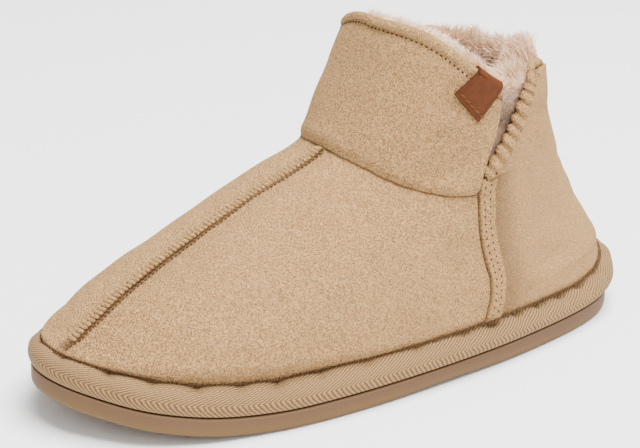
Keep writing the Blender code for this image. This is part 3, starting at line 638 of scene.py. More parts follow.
def crease_lift(points, side):
    """Soft troughs and ridges of the creases at points of one side."""
    lift = np.zeros(len(points))
    station = (points[:, 1] + HALF_LENGTH) / SOLE_LENGTH
    place = np.stack([station * SOLE_LENGTH, points[:, 2]], axis=1)
    for crease in CREASES:
        if crease.side != side:
            continue
        first = np.array([crease.first_station * SOLE_LENGTH, crease.first_height * FRONT_COLLAR_HEIGHT])
        last = np.array([crease.last_station * SOLE_LENGTH, crease.last_height * FRONT_COLLAR_HEIGHT])
        run = last - first
        reach = np.linalg.norm(run)
        run /= reach
        away = place - (first + last) / 2
        ahead = np.clip(np.abs(away @ run) / (reach * 0.62), 0, 1)
        off = (away @ np.array([-run[1], run[0]])) / crease.width
        lift -= crease.depth * (1 - off**2) * np.exp(-(off**2)) * np.cos(ahead * math.pi / 2) ** 2
    return lift


def soft_swell(points):
    """Shallow unevenness of soft suede over pile, the same on every run."""
    x, y, z = points.T * 1000
    swell = np.sin(x * 0.11 + y * 0.053 + 1.3) * np.sin(y * 0.083 - z * 0.071 + 0.4)
    swell += 0.6 * np.sin(y * 0.19 + z * 0.13 + x * 0.05) * np.sin(z * 0.17 - x * 0.12 + 2.1)
    return swell * SWELL_DEPTH


def outward(grid):
    """Unit normals of a grid of points, closed round each row, away from the inside."""
    around = np.roll(grid, -1, axis=1) - np.roll(grid, 1, axis=1)
    up = np.gradient(grid, axis=0)
    normal = np.cross(around, up)
    return normal / np.linalg.norm(normal, axis=2, keepdims=True)


# Levels of the fine surface's rows, closest where the shaft's step and the fold under the roll are
FINE_ROWS = np.unique(np.round(np.concatenate([
    np.arange(0, 1, 0.25),
    np.arange(1, 7.7, 0.10),
    np.arange(7.7, 7.95, 0.05),
    (7.955, 7.975, 7.99, 8.0, 8.01, 8.02, 8.035, 8.05, 8.07, 8.10, 8.15, 8.2, 8.3, 8.4),
    np.arange(NOTCH_LEVEL, COLLAR - 0.2, 0.12), np.arange(COLLAR - 0.60, COLLAR - 0.34, 0.025),
    (COLLAR - 0.16, COLLAR - 0.08, COLLAR),
]), 4))
ROW_OVER_TAPE = 12


@functools.cache
def upper_surface():
    """The upper's outer surface: rows of points, their normals, painted shade in its grooves, folds and along the
    tape, and the plain points.
    """
    places = fine_columns()
    plain, lift, shade = [], [], []
    for level in FINE_ROWS:
        sizes = level_sizes(float(level))
        halves = []
        slack = float(ease((level - 1) / 2)) * float(ease((7.5 - level) / 2)) * (1 - ease((places - 5) / 8))
        slack = -TOE_BOX_SLACK * slack
        for side in (1, -1):
            turns = np.interp(places, np.arange(SIDE_COLUMNS + 1), column_turns(sizes, side))
            halves.append(upper_points(sizes, turns, side))
        plain.append(both_sides(*halves))
        raised = raised_by(level, places)
        fade = float(ease((level - 1.0) / 1.2))
        uneven = [fade * (crease_lift(half, side) + soft_swell(half)) for half, side in zip(halves, (1, -1))]
        lift.append(both_sides(raised + 0.5 * slack + uneven[0], raised + slack + uneven[1]))
        shade.append(both_sides(seam_shade(level, places, 1), seam_shade(level, places, -1)))
    plain = np.array(plain)
    normal = outward(plain)
    fold = roll_fold(distance_down(plain), both_sides(places, places))
    points = plain + normal * (np.array(lift) - FOLD_DEPTH * fold)[:, :, None]
    y, z = points[:, :, 1], points[:, :, 2]
    # Painted shade on the suede just above the tape's edge, wider towards the heel
    feather = np.maximum(z - tape_edge(y), 0) / (0.0009 + 0.0008 * heelward(y))
    shade = np.maximum(np.array(shade), 0.85 * np.exp(-(feather**2)))
    # Painted shade in the fold under the collar's roll
    return points, normal, np.maximum(shade, 0.45 * fold), plain


def above_tape(height):
    """Ring on the suede at a height over the tape's edge, and its normals."""
    points, normal, _, _ = upper_surface()
    low = FINE_ROWS < 4
    ring = []
    for c in range(points.shape[1]):
        heights = np.maximum.accumulate(points[low, c, 2]) + np.arange(low.sum()) * 1e-9
        wanted = tape_edge(points[ROW_OVER_TAPE, c, 1]) + height
        ring.append([np.interp(wanted, heights, grid[low, c, k]) for grid in (points, normal) for k in range(3)])
    ring.append(ring[0])
    return np.array(ring)[:, :3], np.array(ring)[:, 3:]


def distance_down(grid):
    """Distance from the rim, down each column of the surface."""
    steps = np.linalg.norm(np.diff(grid, axis=0), axis=2)
    return np.concatenate([np.cumsum(steps[::-1], axis=0)[::-1], np.zeros((1, grid.shape[1]))])


def roll_height_at(share):
    """Height of the collar's roll, for a share of the way from the front to the notch."""
    return sizes_wanted().roll_height * (0.75 + 0.40 * np.clip(share, 0, 1))


def roll_fold(down, places):
    """Fold in the suede right under the collar's roll, 0 to 1."""
    below = down - roll_height_at(places / PANEL_EDGE)
    return np.exp(-(((below - 0.0002) / 0.0006) ** 2)) * (1 - ease((places - PANEL_EDGE) / 0.6))


def shaft_surface(turn, side, down):
    """Points and outward normals of the shaft's plain outer surface, by angle and distance from the rim."""
    turn, side, down = (np.broadcast_to(np.asarray(v, float), np.shape(turn)) for v in (turn, side, down))
    levels = np.linspace(VAMP_TOP - 3, COLLAR, 49)

    def point(turns, depth):
        columns = np.empty((len(levels), len(turns), 3))
        for i, level in enumerate(levels):
            for s in (1, -1):
                pick = side == s
                columns[i, pick] = upper_points(level_sizes(float(level)), turns[pick], s)
        columns = columns[::-1]
        steps = np.linalg.norm(np.diff(columns, axis=0), axis=2)
        reach = np.concatenate([np.zeros((1, len(turns))), np.cumsum(steps, axis=0)])
        found = np.empty((len(turns), 3))
        for j in range(len(turns)):
            for k in range(3):
                found[j, k] = np.interp(depth[j], reach[:, j], columns[:, j, k])
            if depth[j] < 0:
                up = columns[0, j] - columns[4, j]
                found[j] += up / np.linalg.norm(up) * -depth[j]
        return found

    nudge = 0.02
    around = point(np.clip(turn + nudge, 0, math.pi), down) - point(np.clip(turn - nudge, 0, math.pi), down)
    around *= side[:, None]
    normal = np.cross(around, point(turn, down - 0.002) - point(turn, down + 0.002))
    normal[(turn < 2 * nudge) | (turn > math.pi - 2 * nudge), 0] = 0
    return point(turn, down), normal / np.linalg.norm(normal, axis=1, keepdims=True)


def ring_of_turns(count):
    half = np.linspace(0, math.pi, count // 2 + 1)
    return both_sides(half, half), both_sides(np.ones(count // 2 + 1), -np.ones(count // 2 + 1))


# Paths

def arc_lengths(points):
    return np.concatenate([[0], np.cumsum(np.linalg.norm(np.diff(points, axis=0), axis=1))])


def resampled(points, places, *others):
    """A polyline, and values that go with it, at distances along it."""
    lengths = arc_lengths(points)
    return [
        np.stack([np.interp(places, lengths, values[:, k]) for k in range(values.shape[1])], axis=1)
        for values in (points, *others)
    ]


def unit(vectors):
    return vectors / np.linalg.norm(vectors, axis=-1, keepdims=True)


# Meshes

def select_only(piece):
    bpy.ops.object.select_all(action="DESELECT")
    piece.select_set(True)
    bpy.context.view_layer.objects.active = piece


def edit(piece, *steps):
    """Runs edit-mode operators, each with its settings, on all of a piece."""
    select_only(piece)
    bpy.ops.object.mode_set(mode="EDIT")
    bpy.ops.mesh.select_all(action="SELECT")
    for operator, settings in steps:
        operator(**settings)
    bpy.ops.object.mode_set(mode="OBJECT")


def apply_modifier(piece, kind, **settings):
    select_only(piece)
    bpy.ops.object.modifier_add(type=kind)
    modifier = piece.modifiers[-1]
    for name, value in settings.items():
        setattr(modifier, name, value)
    bpy.ops.object.modifier_apply(modifier=modifier.name)


def smooth_by_angle(piece, degrees):
    select_only(piece)
    bpy.ops.object.shade_smooth_by_angle(angle=math.radians(degrees))


def add_sheet(name, points, closed=False, uv=None, **fields):
    """A grid primitive laid over rows of points, its doubles merged. fields are values kept on its points."""
    points = np.asarray(points, float) + OFFSET
    if closed:
        points = np.concatenate([points, points[:, :1]], axis=1)
        fields = {key: np.concatenate([v, v[:, :1]], axis=1) for key, v in fields.items()}
    rows, columns = points.shape[:2]
    bpy.ops.object.select_all(action="DESELECT")
    bpy.ops.mesh.primitive_grid_add(x_subdivisions=columns - 1, y_subdivisions=rows - 1, size=1)
    piece = bpy.context.object
    piece.name = piece.data.name = name
    mesh = piece.data
    flat = np.empty(len(mesh.vertices) * 3)
    mesh.vertices.foreach_get("co", flat)
    flat = flat.reshape(-1, 3)
    c = np.rint((flat[:, 0] + 0.5) * (columns - 1)).astype(int)
    r = np.rint((flat[:, 1] + 0.5) * (rows - 1)).astype(int)
    mesh.vertices.foreach_set("co", points[r, c].ravel())
    for key, values in fields.items():
        mesh.attributes.new(key, "FLOAT", "POINT").data.foreach_set("value", values[r, c].astype(np.float32))
    if uv is not None:
        corner = np.empty(len(mesh.loops), int)
        mesh.loops.foreach_get("vertex_index", corner)
        mesh.uv_layers.active.data.foreach_set("uv", uv[r[corner], c[corner]].astype(np.float32).ravel())
    edit(piece, (bpy.ops.mesh.remove_doubles, {"threshold": 2e-6}))
    return piece


def face_outwards(piece):
    edit(piece, (bpy.ops.mesh.normals_make_consistent, {"inside": False}))


def add_mesh(name, vertices, faces, **fields):
    """A piece of many small copies or strands, from arrays of points and faces."""
    mesh = bpy.data.meshes.new(name)
    mesh.from_pydata((np.asarray(vertices) + OFFSET).tolist(), [], [list(f) for f in faces])
    for key, values in fields.items():
        mesh.attributes.new(key, "FLOAT", "POINT").data.foreach_set("value", np.asarray(values, np.float32))
    piece = bpy.data.objects.new(name, mesh)
    bpy.context.scene.collection.objects.link(piece)
    mesh.shade_smooth()
    return piece


def copies(name, model, transforms):
    """One piece of many copies of a small model object, which is then removed."""
    vertices = np.array([v.co for v in model.data.vertices])
    faces = [tuple(p.vertices) for p in model.data.polygons]
    points = np.concatenate([vertices @ turn.T + place for turn, place in transforms])
    count = len(vertices)
    all_faces = [tuple(v + i * count for v in face) for i in range(len(transforms)) for face in faces]
    bpy.data.objects.remove(model)
    return add_mesh(name, points, all_faces)


def tube_mesh(paths, radii, sides):
    """Points and faces of round cords along paths, ends closed to a point. radii has one row per path."""
    vertices, faces = [], []
    angles = np.arange(sides) / sides * 2 * math.pi
    for path, radius in zip(paths, radii):
        tangent = unit(np.gradient(path, axis=0))
        reference = np.array([0.31, 0.17, 0.93])
        one = unit(np.cross(tangent, reference))
        two = np.cross(tangent, one)
        ring = (
            path[:, None]
            + radius[:, None, None] * (
                np.cos(angles)[None, :, None] * one[:, None] + np.sin(angles)[None, :, None] * two[:, None])
        )
        start = sum(len(v) for v in vertices)
        vertices.append(ring.reshape(-1, 3))
        for i in range(len(path) - 1):
            for k in range(sides):
                a, b = start + i * sides + k, start + i * sides + (k + 1) % sides
                faces.append((a, b, b + sides, a + sides))
        faces.append(tuple(start + k for k in range(sides - 1, -1, -1)))
        last = start + (len(path) - 1) * sides
        faces.append(tuple(last + k for k in range(sides)))
    return np.concatenate(vertices), faces


def dress(piece, finishes, stands_for=()):
    """Gives a piece its finishes, body, material slot and the solids that it stands for."""
    piece.data.materials.clear()
    for finish in finishes:
        piece.data.materials.append(finish)
    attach(piece, "root")
    if stands_for:
        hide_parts(*stands_for)


def complete(piece, degrees, finishes, stands_for=()):
    """Turns a closed sheet's faces outwards, smooths them and dresses the piece."""
    face_outwards(piece)
    smooth_by_angle(piece, degrees)
    dress(piece, finishes, stands_for)


# Finishes

def add_node(tree, kind, inputs=None, **settings):
    """A node with its settings, and inputs given as values or as sockets to link."""
    node = tree.nodes.new(kind)
    for name, value in settings.items():
        setattr(node, name, value)
    for name, value in (inputs or {}).items():
        if isinstance(value, bpy.types.NodeSocket):
            tree.links.new(value, node.inputs[name])
        else:
            node.inputs[name].default_value = value
    return node


class Finish:
    """One material under way: its nodes and the sockets that patterns start from."""

    def __init__(self, name, roughness, sheen=0.0, sheen_tint=(1, 1, 1), sheen_roughness=0.4, specular=0.5):
        self.material = bpy.data.materials.new(name)
        self.material.use_nodes = True
        self.tree = self.material.node_tree
        self.shader = self.tree.nodes["Principled BSDF"]
        values = {
            "Roughness": roughness, "Sheen Weight": sheen, "Sheen Roughness": sheen_roughness,
            "Sheen Tint": (*sheen_tint, 1), "Specular IOR Level": specular,
        }
        for socket, value in values.items():
            self.shader.inputs[socket].default_value = value
        self.place = add_node(self.tree, "ShaderNodeTexCoord").outputs["Object"]

    def math(self, operation, a, b=0.0, c=0.0):
        node = add_node(self.tree, "ShaderNodeMath", {0: a, 1: b, 2: c}, operation=operation)
        return node.outputs[0]

    def noise(self, scale, detail=2.0, roughness=0.55, stretch=(1, 1, 1), turn=(0, 0, 0), place=None):
        mapping = add_node(
            self.tree, "ShaderNodeMapping", {"Vector": place or self.place, "Scale": stretch, "Rotation": turn})
        node = add_node(
            self.tree, "ShaderNodeTexNoise",
            {"Vector": mapping.outputs[0], "Scale": scale, "Detail": detail, "Roughness": roughness})
        return node.outputs["Fac"]

    def field(self, name):
        return add_node(self.tree, "ShaderNodeAttribute", attribute_name=name).outputs["Fac"]

    def spread(self, value, low, high, to_low=0.0, to_high=1.0):
        node = add_node(
            self.tree, "ShaderNodeMapRange",
            {"Value": value, "From Min": low, "From Max": high, "To Min": to_low, "To Max": to_high})
        return node.outputs[0]

    def mix(self, share, one, two):
        node = add_node(self.tree, "ShaderNodeMix", {"Factor": share}, data_type="RGBA")
        for socket, value in ((node.inputs[6], one), (node.inputs[7], two)):
            if isinstance(value, bpy.types.NodeSocket):
                self.tree.links.new(value, socket)
            else:
                socket.default_value = (*value, 1)
        return node.outputs[2]

    def colour(self, socket):
        self.tree.links.new(socket, self.shader.inputs["Base Color"])

    def bump(self, height, strength, distance):
        node = add_node(
            self.tree, "ShaderNodeBump", {"Height": height, "Strength": strength, "Distance": distance})
        self.tree.links.new(node.outputs[0], self.shader.inputs["Normal"])


def colours():
    return bpy.context.scene.slipper_colours


def sizes_wanted():
    return bpy.context.scene.slipper_sizes


@functools.cache
def suede_finish():
    """Short mottled nap, brushed in patches, with painted shade in the seams' grooves, folds and recesses."""
    made = Finish("suede", 0.95, sheen=0.05, sheen_tint=(1.0, 0.85, 0.66), specular=0.10)
    turned = made.noise(170, 1, 0.5)
    worm = made.noise(980, 2, 0.5, stretch=(1.0, 0.7, 0.9), turn=(0.3, 0.5, 0.6))
    worm = made.math("ABSOLUTE", made.math("SUBTRACT", made.math("MULTIPLY_ADD", turned, 0.15, worm), 0.575))
    worm = made.spread(worm, 0.0, 0.12)
    nap = made.noise(1700, 2, 0.6, stretch=(0.8, 1.0, 1.0), turn=(0.9, 0.2, 0.3))
    nap = made.spread(nap, 0.36, 0.64)
    speck = made.math("MULTIPLY_ADD", worm, 0.45, made.math("MULTIPLY", nap, 0.55))
    patch = made.spread(made.noise(30, 3, 0.5), 0.35, 0.70, -0.05, 0.07)
    contrast = made.spread(made.field("nap"), 0.0, 1.0, 0.35, 1.70)
    depth = made.math("MULTIPLY", made.math("SUBTRACT", 0.62, speck), contrast)
    shade = made.math("ADD", made.math("ADD", depth, 0.20), patch)
    face = made.mix(shade, tuple(colours().suede), tuple(colours().suede_low))
    made.colour(made.mix(made.field("joint"), face, tuple(colours().joint)))
    made.bump(speck, 1.0, 0.0009)
    return made.material


@functools.cache
def fleece_finish():
    """Close pile seen from afar: the wall's inner face and the ground of the lining, with painted shade low in the
    side notches.
    """
    made = Finish("fleece", 1.0, sheen=0.4, sheen_tint=(1.0, 0.93, 0.88), specular=0.1)
    lump = made.noise(260, 4, 0.6)
    face = made.mix(made.spread(lump, 0.35, 0.65), tuple(colours().pile_low), tuple(colours().pile))
    made.colour(made.mix(made.field("deep"), face, tuple(v * 2.2 for v in colours().joint)))
    made.bump(lump, 0.9, 0.0012)
    return made.material


@functools.cache
def pile_finish():
    """Strands: darker at the root, pale at the tip, each lock with its own tone, with painted shade low in the side
    notches.
    """
    made = Finish("pile", 0.9, sheen=0.5, sheen_tint=(1.0, 0.95, 0.90), specular=0.2)
    tip = made.spread(made.field("tip"), 0.0, 0.75)
    tone = made.field("tone")
    strand = made.mix(tip, tuple(colours().pile_low), tuple(colours().pile))
    warm = made.mix(made.spread(tone, 0.40, 0.95, 0.0, 0.50), strand, (0.70, 0.42, 0.25))
    pale = made.mix(made.spread(tone, 0.0, 0.30, 0.55, 0.0), warm, (0.93, 0.79, 0.63))
    made.colour(made.mix(made.field("deep"), pale, tuple(v * 2.2 for v in colours().joint)))
    return made.material


@functools.cache
def tape_finish():
    """Herringbone tape: the woven pattern of twill lines that turn back at each band, on the tape's own map, drawn as
    lit lines with painted shade between them.
    """
    sizes = sizes_wanted()
    made = Finish("herringbone_tape", 0.85, sheen=0.04, specular=0.15)
    uv = add_node(made.tree, "ShaderNodeUVMap").outputs[0]
    split = add_node(made.tree, "ShaderNodeSeparateXYZ", {0: uv})
    along, across = split.outputs[0], split.outputs[1]
    above = made.math("SUBTRACT", across, sizes.twill_turn)
    slope = made.math("MULTIPLY", made.math("MAXIMUM", above, 0.0), -1.9)
    slope = made.math("MULTIPLY_ADD", made.math("MINIMUM", above, 0.0), 0.75, slope)
    wobble = made.noise(330, 1, 0.5)
    slanted = made.math("MULTIPLY_ADD", wobble, 0.0009, made.math("ADD", along, slope))
    line = made.spread(made.math("PINGPONG", slanted, sizes.twill_pitch / 2), 0.0, sizes.twill_pitch / 2)
    weft = made.spread(made.math("PINGPONG", across, 0.00042), 0.0, 0.00042)
    thread = made.math("MULTIPLY", line, made.math("MULTIPLY_ADD", weft, 0.55, 0.45))
    grain = made.noise(1300, 2, 0.6)
    value = made.math("MULTIPLY_ADD", grain, 0.30, thread)
    # Painted shade: the spaces between the twill lines take the darker tape colour
    shade = made.spread(value, 0.16, 0.88, 1.0, 0.0)
    face = made.mix(shade, tuple(colours().tape), tuple(colours().tape_shaded))
    made.colour(made.mix(made.field("joint"), face, tuple(colours().joint)))
    made.bump(value, 0.6, 0.0005)
    return made.material


@functools.cache
def rubber_finish():
    """Moulded sole: warmer above, yellower below, finely dimpled, with a painted highlight along the lip under its
    top edge and painted shade on its top face.
    """
    made = Finish("sole_rubber", 0.66, specular=0.20)
    height = made.field("height")
    streak = made.noise(90, 3, 0.6, stretch=(1, 0.25, 2.5))
    share = made.math("ADD", height, made.spread(streak, 0.3, 0.7, -0.10, 0.10))
    body = made.mix(made.spread(share, 0.30, 0.62), tuple(colours().rubber_low), tuple(colours().rubber))
    fine = made.noise(1700, 1, 0.5)
    split = add_node(made.tree, "ShaderNodeSeparateXYZ", {0: made.place})
    rise, run = split.outputs[2], made.math("ADD", split.outputs[0], split.outputs[1])
    hatch = made.math(
        "MINIMUM", made.math("PINGPONG", made.math("ADD", rise, run), 0.0005),
        made.math("PINGPONG", made.math("SUBTRACT", rise, run), 0.0005))
    hatch = made.math("MULTIPLY_ADD", fine, 0.5, made.spread(hatch, 0.0, 0.0004))
    body = made.mix(made.spread(hatch, 0.2, 1.1, 0.45, 0.0), body, (0.070, 0.034, 0.015))
    # Painted highlight: a paler band along the lip just under the top edge
    body = made.mix(made.spread(height, 0.84, 0.93, 0.0, 0.55), body, (0.22, 0.135, 0.066))
    made.colour(made.mix(made.field("joint"), body, tuple(colours().joint)))
    made.bump(fine, 0.35, 0.0002)
    return made.material


@functools.cache
def thread_finish(name, shade_name, fuzz):
    """Spun thread with its plies and a little fuzz."""
    made = Finish(name, 0.9, sheen=0.04, specular=0.15)
    ply = made.noise(1600, 2, 0.6, stretch=(1, 0.5, 1))
    base = tuple(getattr(colours(), shade_name))
    low = tuple(v * 0.55 for v in base)
    made.colour(made.mix(made.spread(ply, 0.35, 0.62, 0.75, 0.0), base, low))
    made.bump(ply, fuzz, 0.0005)
    return made.material


# Painted shade: the needle holes' dark colour stands for the shade inside them
@functools.cache
def hole_shade_finish():
    made = Finish("needle_holes", 1.0, specular=0.1)
    made.colour(made.mix(made.noise(900), tuple(colours().joint), tuple(v * 1.6 for v in colours().joint)))
    return made.material


@functools.cache
def leather_finish():
    """Vegetable-tanned strip: fine pores, a soft gloss, burnished edges."""
    made = Finish("tab_leather", 0.62, specular=0.14)
    pores = add_node(made.tree, "ShaderNodeTexVoronoi", {"Vector": made.place, "Scale": 2100.0})
    pore = pores.outputs["Distance"]
    cloud = made.noise(330, 4, 0.65)
    shade = made.math("ADD", made.spread(pore, 0.0, 0.6, 0.40, 0.0), made.spread(cloud, 0.35, 0.65, 0.0, 0.40))
    face = made.mix(shade, tuple(colours().leather), tuple(colours().leather_low))
    made.colour(made.mix(made.field("worn"), face, tuple(colours().leather_low)))
    made.bump(pore, 0.25, 0.0002)
    return made.material


@functools.cache
def floor_finish():
    made = Finish("studio_floor", 0.9, specular=0.1)
    made.colour(made.mix(made.noise(3.0), tuple(colours().floor), tuple(v * 0.995 for v in colours().floor)))
    return made.material


# Operators: one for each piece or group of like pieces

class SLIPPER_OT_outsole(bpy.types.Operator):
    """Rubber outsole with a rounded lower edge and a ribbed tread"""
    bl_idname = "slipper.outsole"
    bl_label = "Outsole"

    def execute(self, context):
        steps = 120
        rounding = [
            (SOLE_EDGE_ROUND * (1 - math.sin(a)) * 0.95, SOLE_EDGE_ROUND * 1.1 * (1 - math.cos(a)))
            for a in np.linspace(0, math.pi / 2, 7)
        ]
        profile = [
            *rounding, (0.0, OUTSOLE_THICKNESS * 0.45), (0.00005, OUTSOLE_THICKNESS * 0.62),
            (0.0, OUTSOLE_THICKNESS * 0.80), (0.0001, OUTSOLE_THICKNESS * 0.92),
            (0.0003, OUTSOLE_THICKNESS * 0.97), (0.0007, OUTSOLE_THICKNESS), (0.0030, OUTSOLE_THICKNESS),
        ]
        rings = []
        for inset, height in profile:
            ring = outline_ring(inset, height, steps)
            ring[:, 2] += arch_lift(ring[:, 1]) * (1 - height / OUTSOLE_THICKNESS)
            rings.append(ring)
        rings = [centre_line(rings[0]), *rings, centre_line(rings[-1])]
        heights = np.array([0, *(h for _, h in profile), OUTSOLE_THICKNESS]) / OUTSOLE_THICKNESS
        insets = np.array([0.02, *(i for i, _ in profile), 0.02])
        height = np.repeat(heights[:, None], steps * 2, axis=1)
        # Painted shade on the top face, where the tape sits on the outsole
        joint = np.repeat((0.8 * ((heights > 0.98) & (insets >= 0.0006)))[:, None], steps * 2, axis=1)
        piece = add_sheet("rubber_outsole", rings, closed=True, height=height, joint=joint)
        face_outwards(piece)
        self.cut_tread(piece)
        smooth_by_angle(piece, 35)
        dress(piece, [rubber_finish()], ["outsole"])
        return {"FINISHED"}

    def cut_tread(self, piece):
        """Cross grooves under the ball and the heel, cut with one bar copied along the sole."""
        bars = []
        for first, last in ((0.20, 0.44), (0.74, 0.92)):
            for i in range(int((last - first) * SOLE_LENGTH / TREAD_PITCH) + 1):
                y = first * SOLE_LENGTH + i * TREAD_PITCH - HALF_LENGTH
                turn = turn_of((y + HALF_LENGTH) / SOLE_LENGTH)
                centre = float(footprint(turn, "centre")) * HALF_BALL
                half = float(footprint(turn, "half")) * HALF_BALL - TREAD_BORDER
                bpy.ops.object.select_all(action="DESELECT")
                place = Vector((centre, y, float(toe_lift(y)))) + Vector(OFFSET)
                bpy.ops.mesh.primitive_cube_add(size=1, location=place)
                bar = bpy.context.object
                bar.scale = (2 * half, TREAD_WIDTH, 2 * TREAD_DEPTH)
                bars.append(bar)
        for bar in bars:
            bar.select_set(True)
        bpy.context.view_layer.objects.active = bars[0]
        bpy.ops.object.join()
        bpy.ops.object.transform_apply(location=True, rotation=True, scale=True)
        cutter = bpy.context.object
        apply_modifier(piece, "BOOLEAN", object=cutter, operation="DIFFERENCE")
        bpy.data.objects.remove(cutter)


class SLIPPER_OT_platform(bpy.types.Operator):
    """Padded platform in herringbone tape, its upper edge pinched here and there"""
    bl_idname = "slipper.platform"
    bl_label = "Taped platform"

    def execute(self, context):
        steps = 180
        turn = np.linspace(0, math.pi, steps + 1)
        bulge = PLATFORM_BULGE_TOE + (PLATFORM_BULGE_HEEL - PLATFORM_BULGE_TOE) * station_of(turn)
        heel = heel_lift(station_of(turn))
        knots = np.array((
            (0.0040, 0.0, 0.0), (0.0012, 0.0, 0.0), (0.0, 0.14, 0.35), (0.0, 0.40, 1.00), (0.0, 0.64, 0.75),
            (PLATFORM_RIM_WIDTH * 0.16, 0.86, 0.30), (PLATFORM_RIM_WIDTH * 0.44, 1.00, 0.0),
            (PLATFORM_RIM_WIDTH * 0.76, 1.10, 0.0), (PLATFORM_RIM_WIDTH * 0.97, 1.13, 0.0),
            (PLATFORM_RIM_WIDTH, 0.90, 0.0), (PLATFORM_RIM_WIDTH, 1 - PLATFORM_RECESS / PLATFORM_HEIGHT, 0.0),
        ))
        where = np.linspace(0, len(knots) - 1, 4 * (len(knots) - 1) + 1)
        profile = np.stack([smooth(np.arange(len(knots)), knots[:, k], where) for k in range(3)], axis=1)
        length = arc_lengths(outline_ring(0, PLATFORM_BASE, steps)[: steps + 1])
        share = length / length[-1]
        dip = self.pinch(share)
        rings, joint = [], []
        for inset, height, puff in profile:
            out = np.stack([np.sin(turn), -np.cos(turn)], axis=1)
            ring = outline_ring(inset, PLATFORM_BASE + PLATFORM_HEIGHT * height, steps)
            swell = bulge * puff
            upper_edge = float(np.exp(-(((inset / PLATFORM_RIM_WIDTH) - 0.70) / 0.42) ** 2)) * (height > 0.5)
            face = float(ease((height - 0.35) / 0.5)) * (inset < PLATFORM_RIM_WIDTH * 0.5)
            swell = swell - 0.55 * context.scene.slipper_sizes.pinch_depth * dip * face
            ring[:, :2] += both_sides(out * swell[:, None], (out * swell[:, None]) * (-1, 1))
            if inset < PLATFORM_RIM_WIDTH or height > 0.7:
                ring[:, 2] += both_sides(heel, heel) * min(height * 1.4, 1)
            drop = context.scene.slipper_sizes.pinch_depth * dip * upper_edge
            ring[:, 2] -= both_sides(drop, drop)
            rings.append(ring)
            # Painted shade where the tape turns down into the recess beside the suede, and on the tape's underside
            # where it sits on the outsole
            dark = 0.85 * float(ease((inset / PLATFORM_RIM_WIDTH - 0.84) / 0.14)) * (height > 0.5)
            dark = max(dark, 0.8 * (height < 0.03))
            joint.append(np.full(steps * 2, dark))
        rings = [centre_line(rings[0]), *rings, centre_line(rings[-1])]
        joint = np.array([joint[0], *joint, joint[-1]])
        uv = self.tape_map(np.array(rings), length)
        piece = add_sheet("taped_platform", rings, closed=True, uv=uv, joint=joint)
        complete(piece, 60, [tape_finish()], ["platform"])
        return {"FINISHED"}

    def pinch(self, share):
        """How far the edge is pulled down at a share of the way round: pointed dips with full cushions between."""
        at = np.array([p for p, _ in PINCHES])
        depth = np.array([d for _, d in PINCHES])
        distance = np.abs(share[:, None] - at)
        return (depth * np.exp(-distance / 0.009)).max(axis=1)

    def tape_map(self, rings, length):
        """Distance along the tape and across it, in metres."""
        along = np.concatenate([length, 2 * length[-1] - length[-2::-1]])
        across = arc_lengths(rings[:, rings.shape[1] // 4])
        across = across - across[1]
        grid = np.empty((len(rings), len(along), 2))
        grid[:, :, 0] = along
        grid[:, :, 1] = across[:, None]
        return grid


class SLIPPER_OT_upper(bpy.types.Operator):
    """Suede upper: one shell with its toe seam, side seams, notches and the step of the shaft"""
    bl_idname = "slipper.upper"
    bl_label = "Suede upper"

    def execute(self, context):
        points, _, shade, _ = upper_surface()
        places = fine_columns()
        places = both_sides(places, places)
        smoother = np.maximum(0.55 * ease((places - QUARTER_EDGE) / 1.2)[None], 0.30 * self.worn_top(places))
        piece = add_sheet(
            "suede_upper", points, closed=True, joint=shade,
            place=np.repeat(places[None], len(points), axis=0),
            level=np.repeat(FINE_ROWS[:, None], len(places), axis=1), nap=1 - smoother,
        )
        face_outwards(piece)
        self.open_notches(piece)
        apply_modifier(piece, "SOLIDIFY", thickness=UPPER_WALL, offset=-1, material_offset=1)
        self.soften_edges(piece)
        smooth_by_angle(piece, 75)
        dress(piece, [suede_finish(), fleece_finish()], ["upper"])
        return {"FINISHED"}

    def worn_top(self, places):
        """Where the vamp's nap is smoothed: beside the seam on top of the foot, 0 to 1."""
        high = ease((FINE_ROWS - 4.5) / 1.5) * (FINE_ROWS < VAMP_TOP)
        return high[:, None] * (1 - ease((places - 4) / 5))[None]

    def open_notches(self, piece):
        """Deletes the faces of the side notches, and the front panel's edge inside its rolled binding."""
        mesh = piece.data
        place = np.empty(len(mesh.vertices), np.float32)
        level = np.empty(len(mesh.vertices), np.float32)
        mesh.attributes["place"].data.foreach_get("value", place)
        mesh.attributes["level"].data.foreach_get("value", level)
        select_only(piece)
        bpy.ops.object.mode_set(mode="EDIT")
        bpy.ops.mesh.select_all(action="DESELECT")
        bpy.ops.object.mode_set(mode="OBJECT")
        slack = 1e-3
        chosen = []
        for face in mesh.polygons:
            corners = list(face.vertices)
            at, up = place[corners], level[corners]
            notch = at.min() > PANEL_EDGE - slack and at.max() < QUARTER_EDGE + slack
            notch = notch and up.min() > NOTCH_LEVEL - slack
            rolled = up.min() > COLLAR - 0.17 and at.max() < PANEL_EDGE + slack
            chosen.append(bool(notch or rolled))
        mesh.polygons.foreach_set("select", chosen)
        bpy.ops.object.mode_set(mode="EDIT")
        bpy.ops.mesh.select_mode(type="FACE")
        bpy.ops.mesh.delete(type="FACE")
        bpy.ops.mesh.select_mode(type="VERT")
        bpy.ops.object.mode_set(mode="OBJECT")

    def soften_edges(self, piece):
        """Rounds the cut edges of the notches and the rim."""
        apply_modifier(
            piece, "BEVEL", width=0.0008, segments=2, limit_method="ANGLE", angle_limit=math.radians(62),
            affect="EDGES")


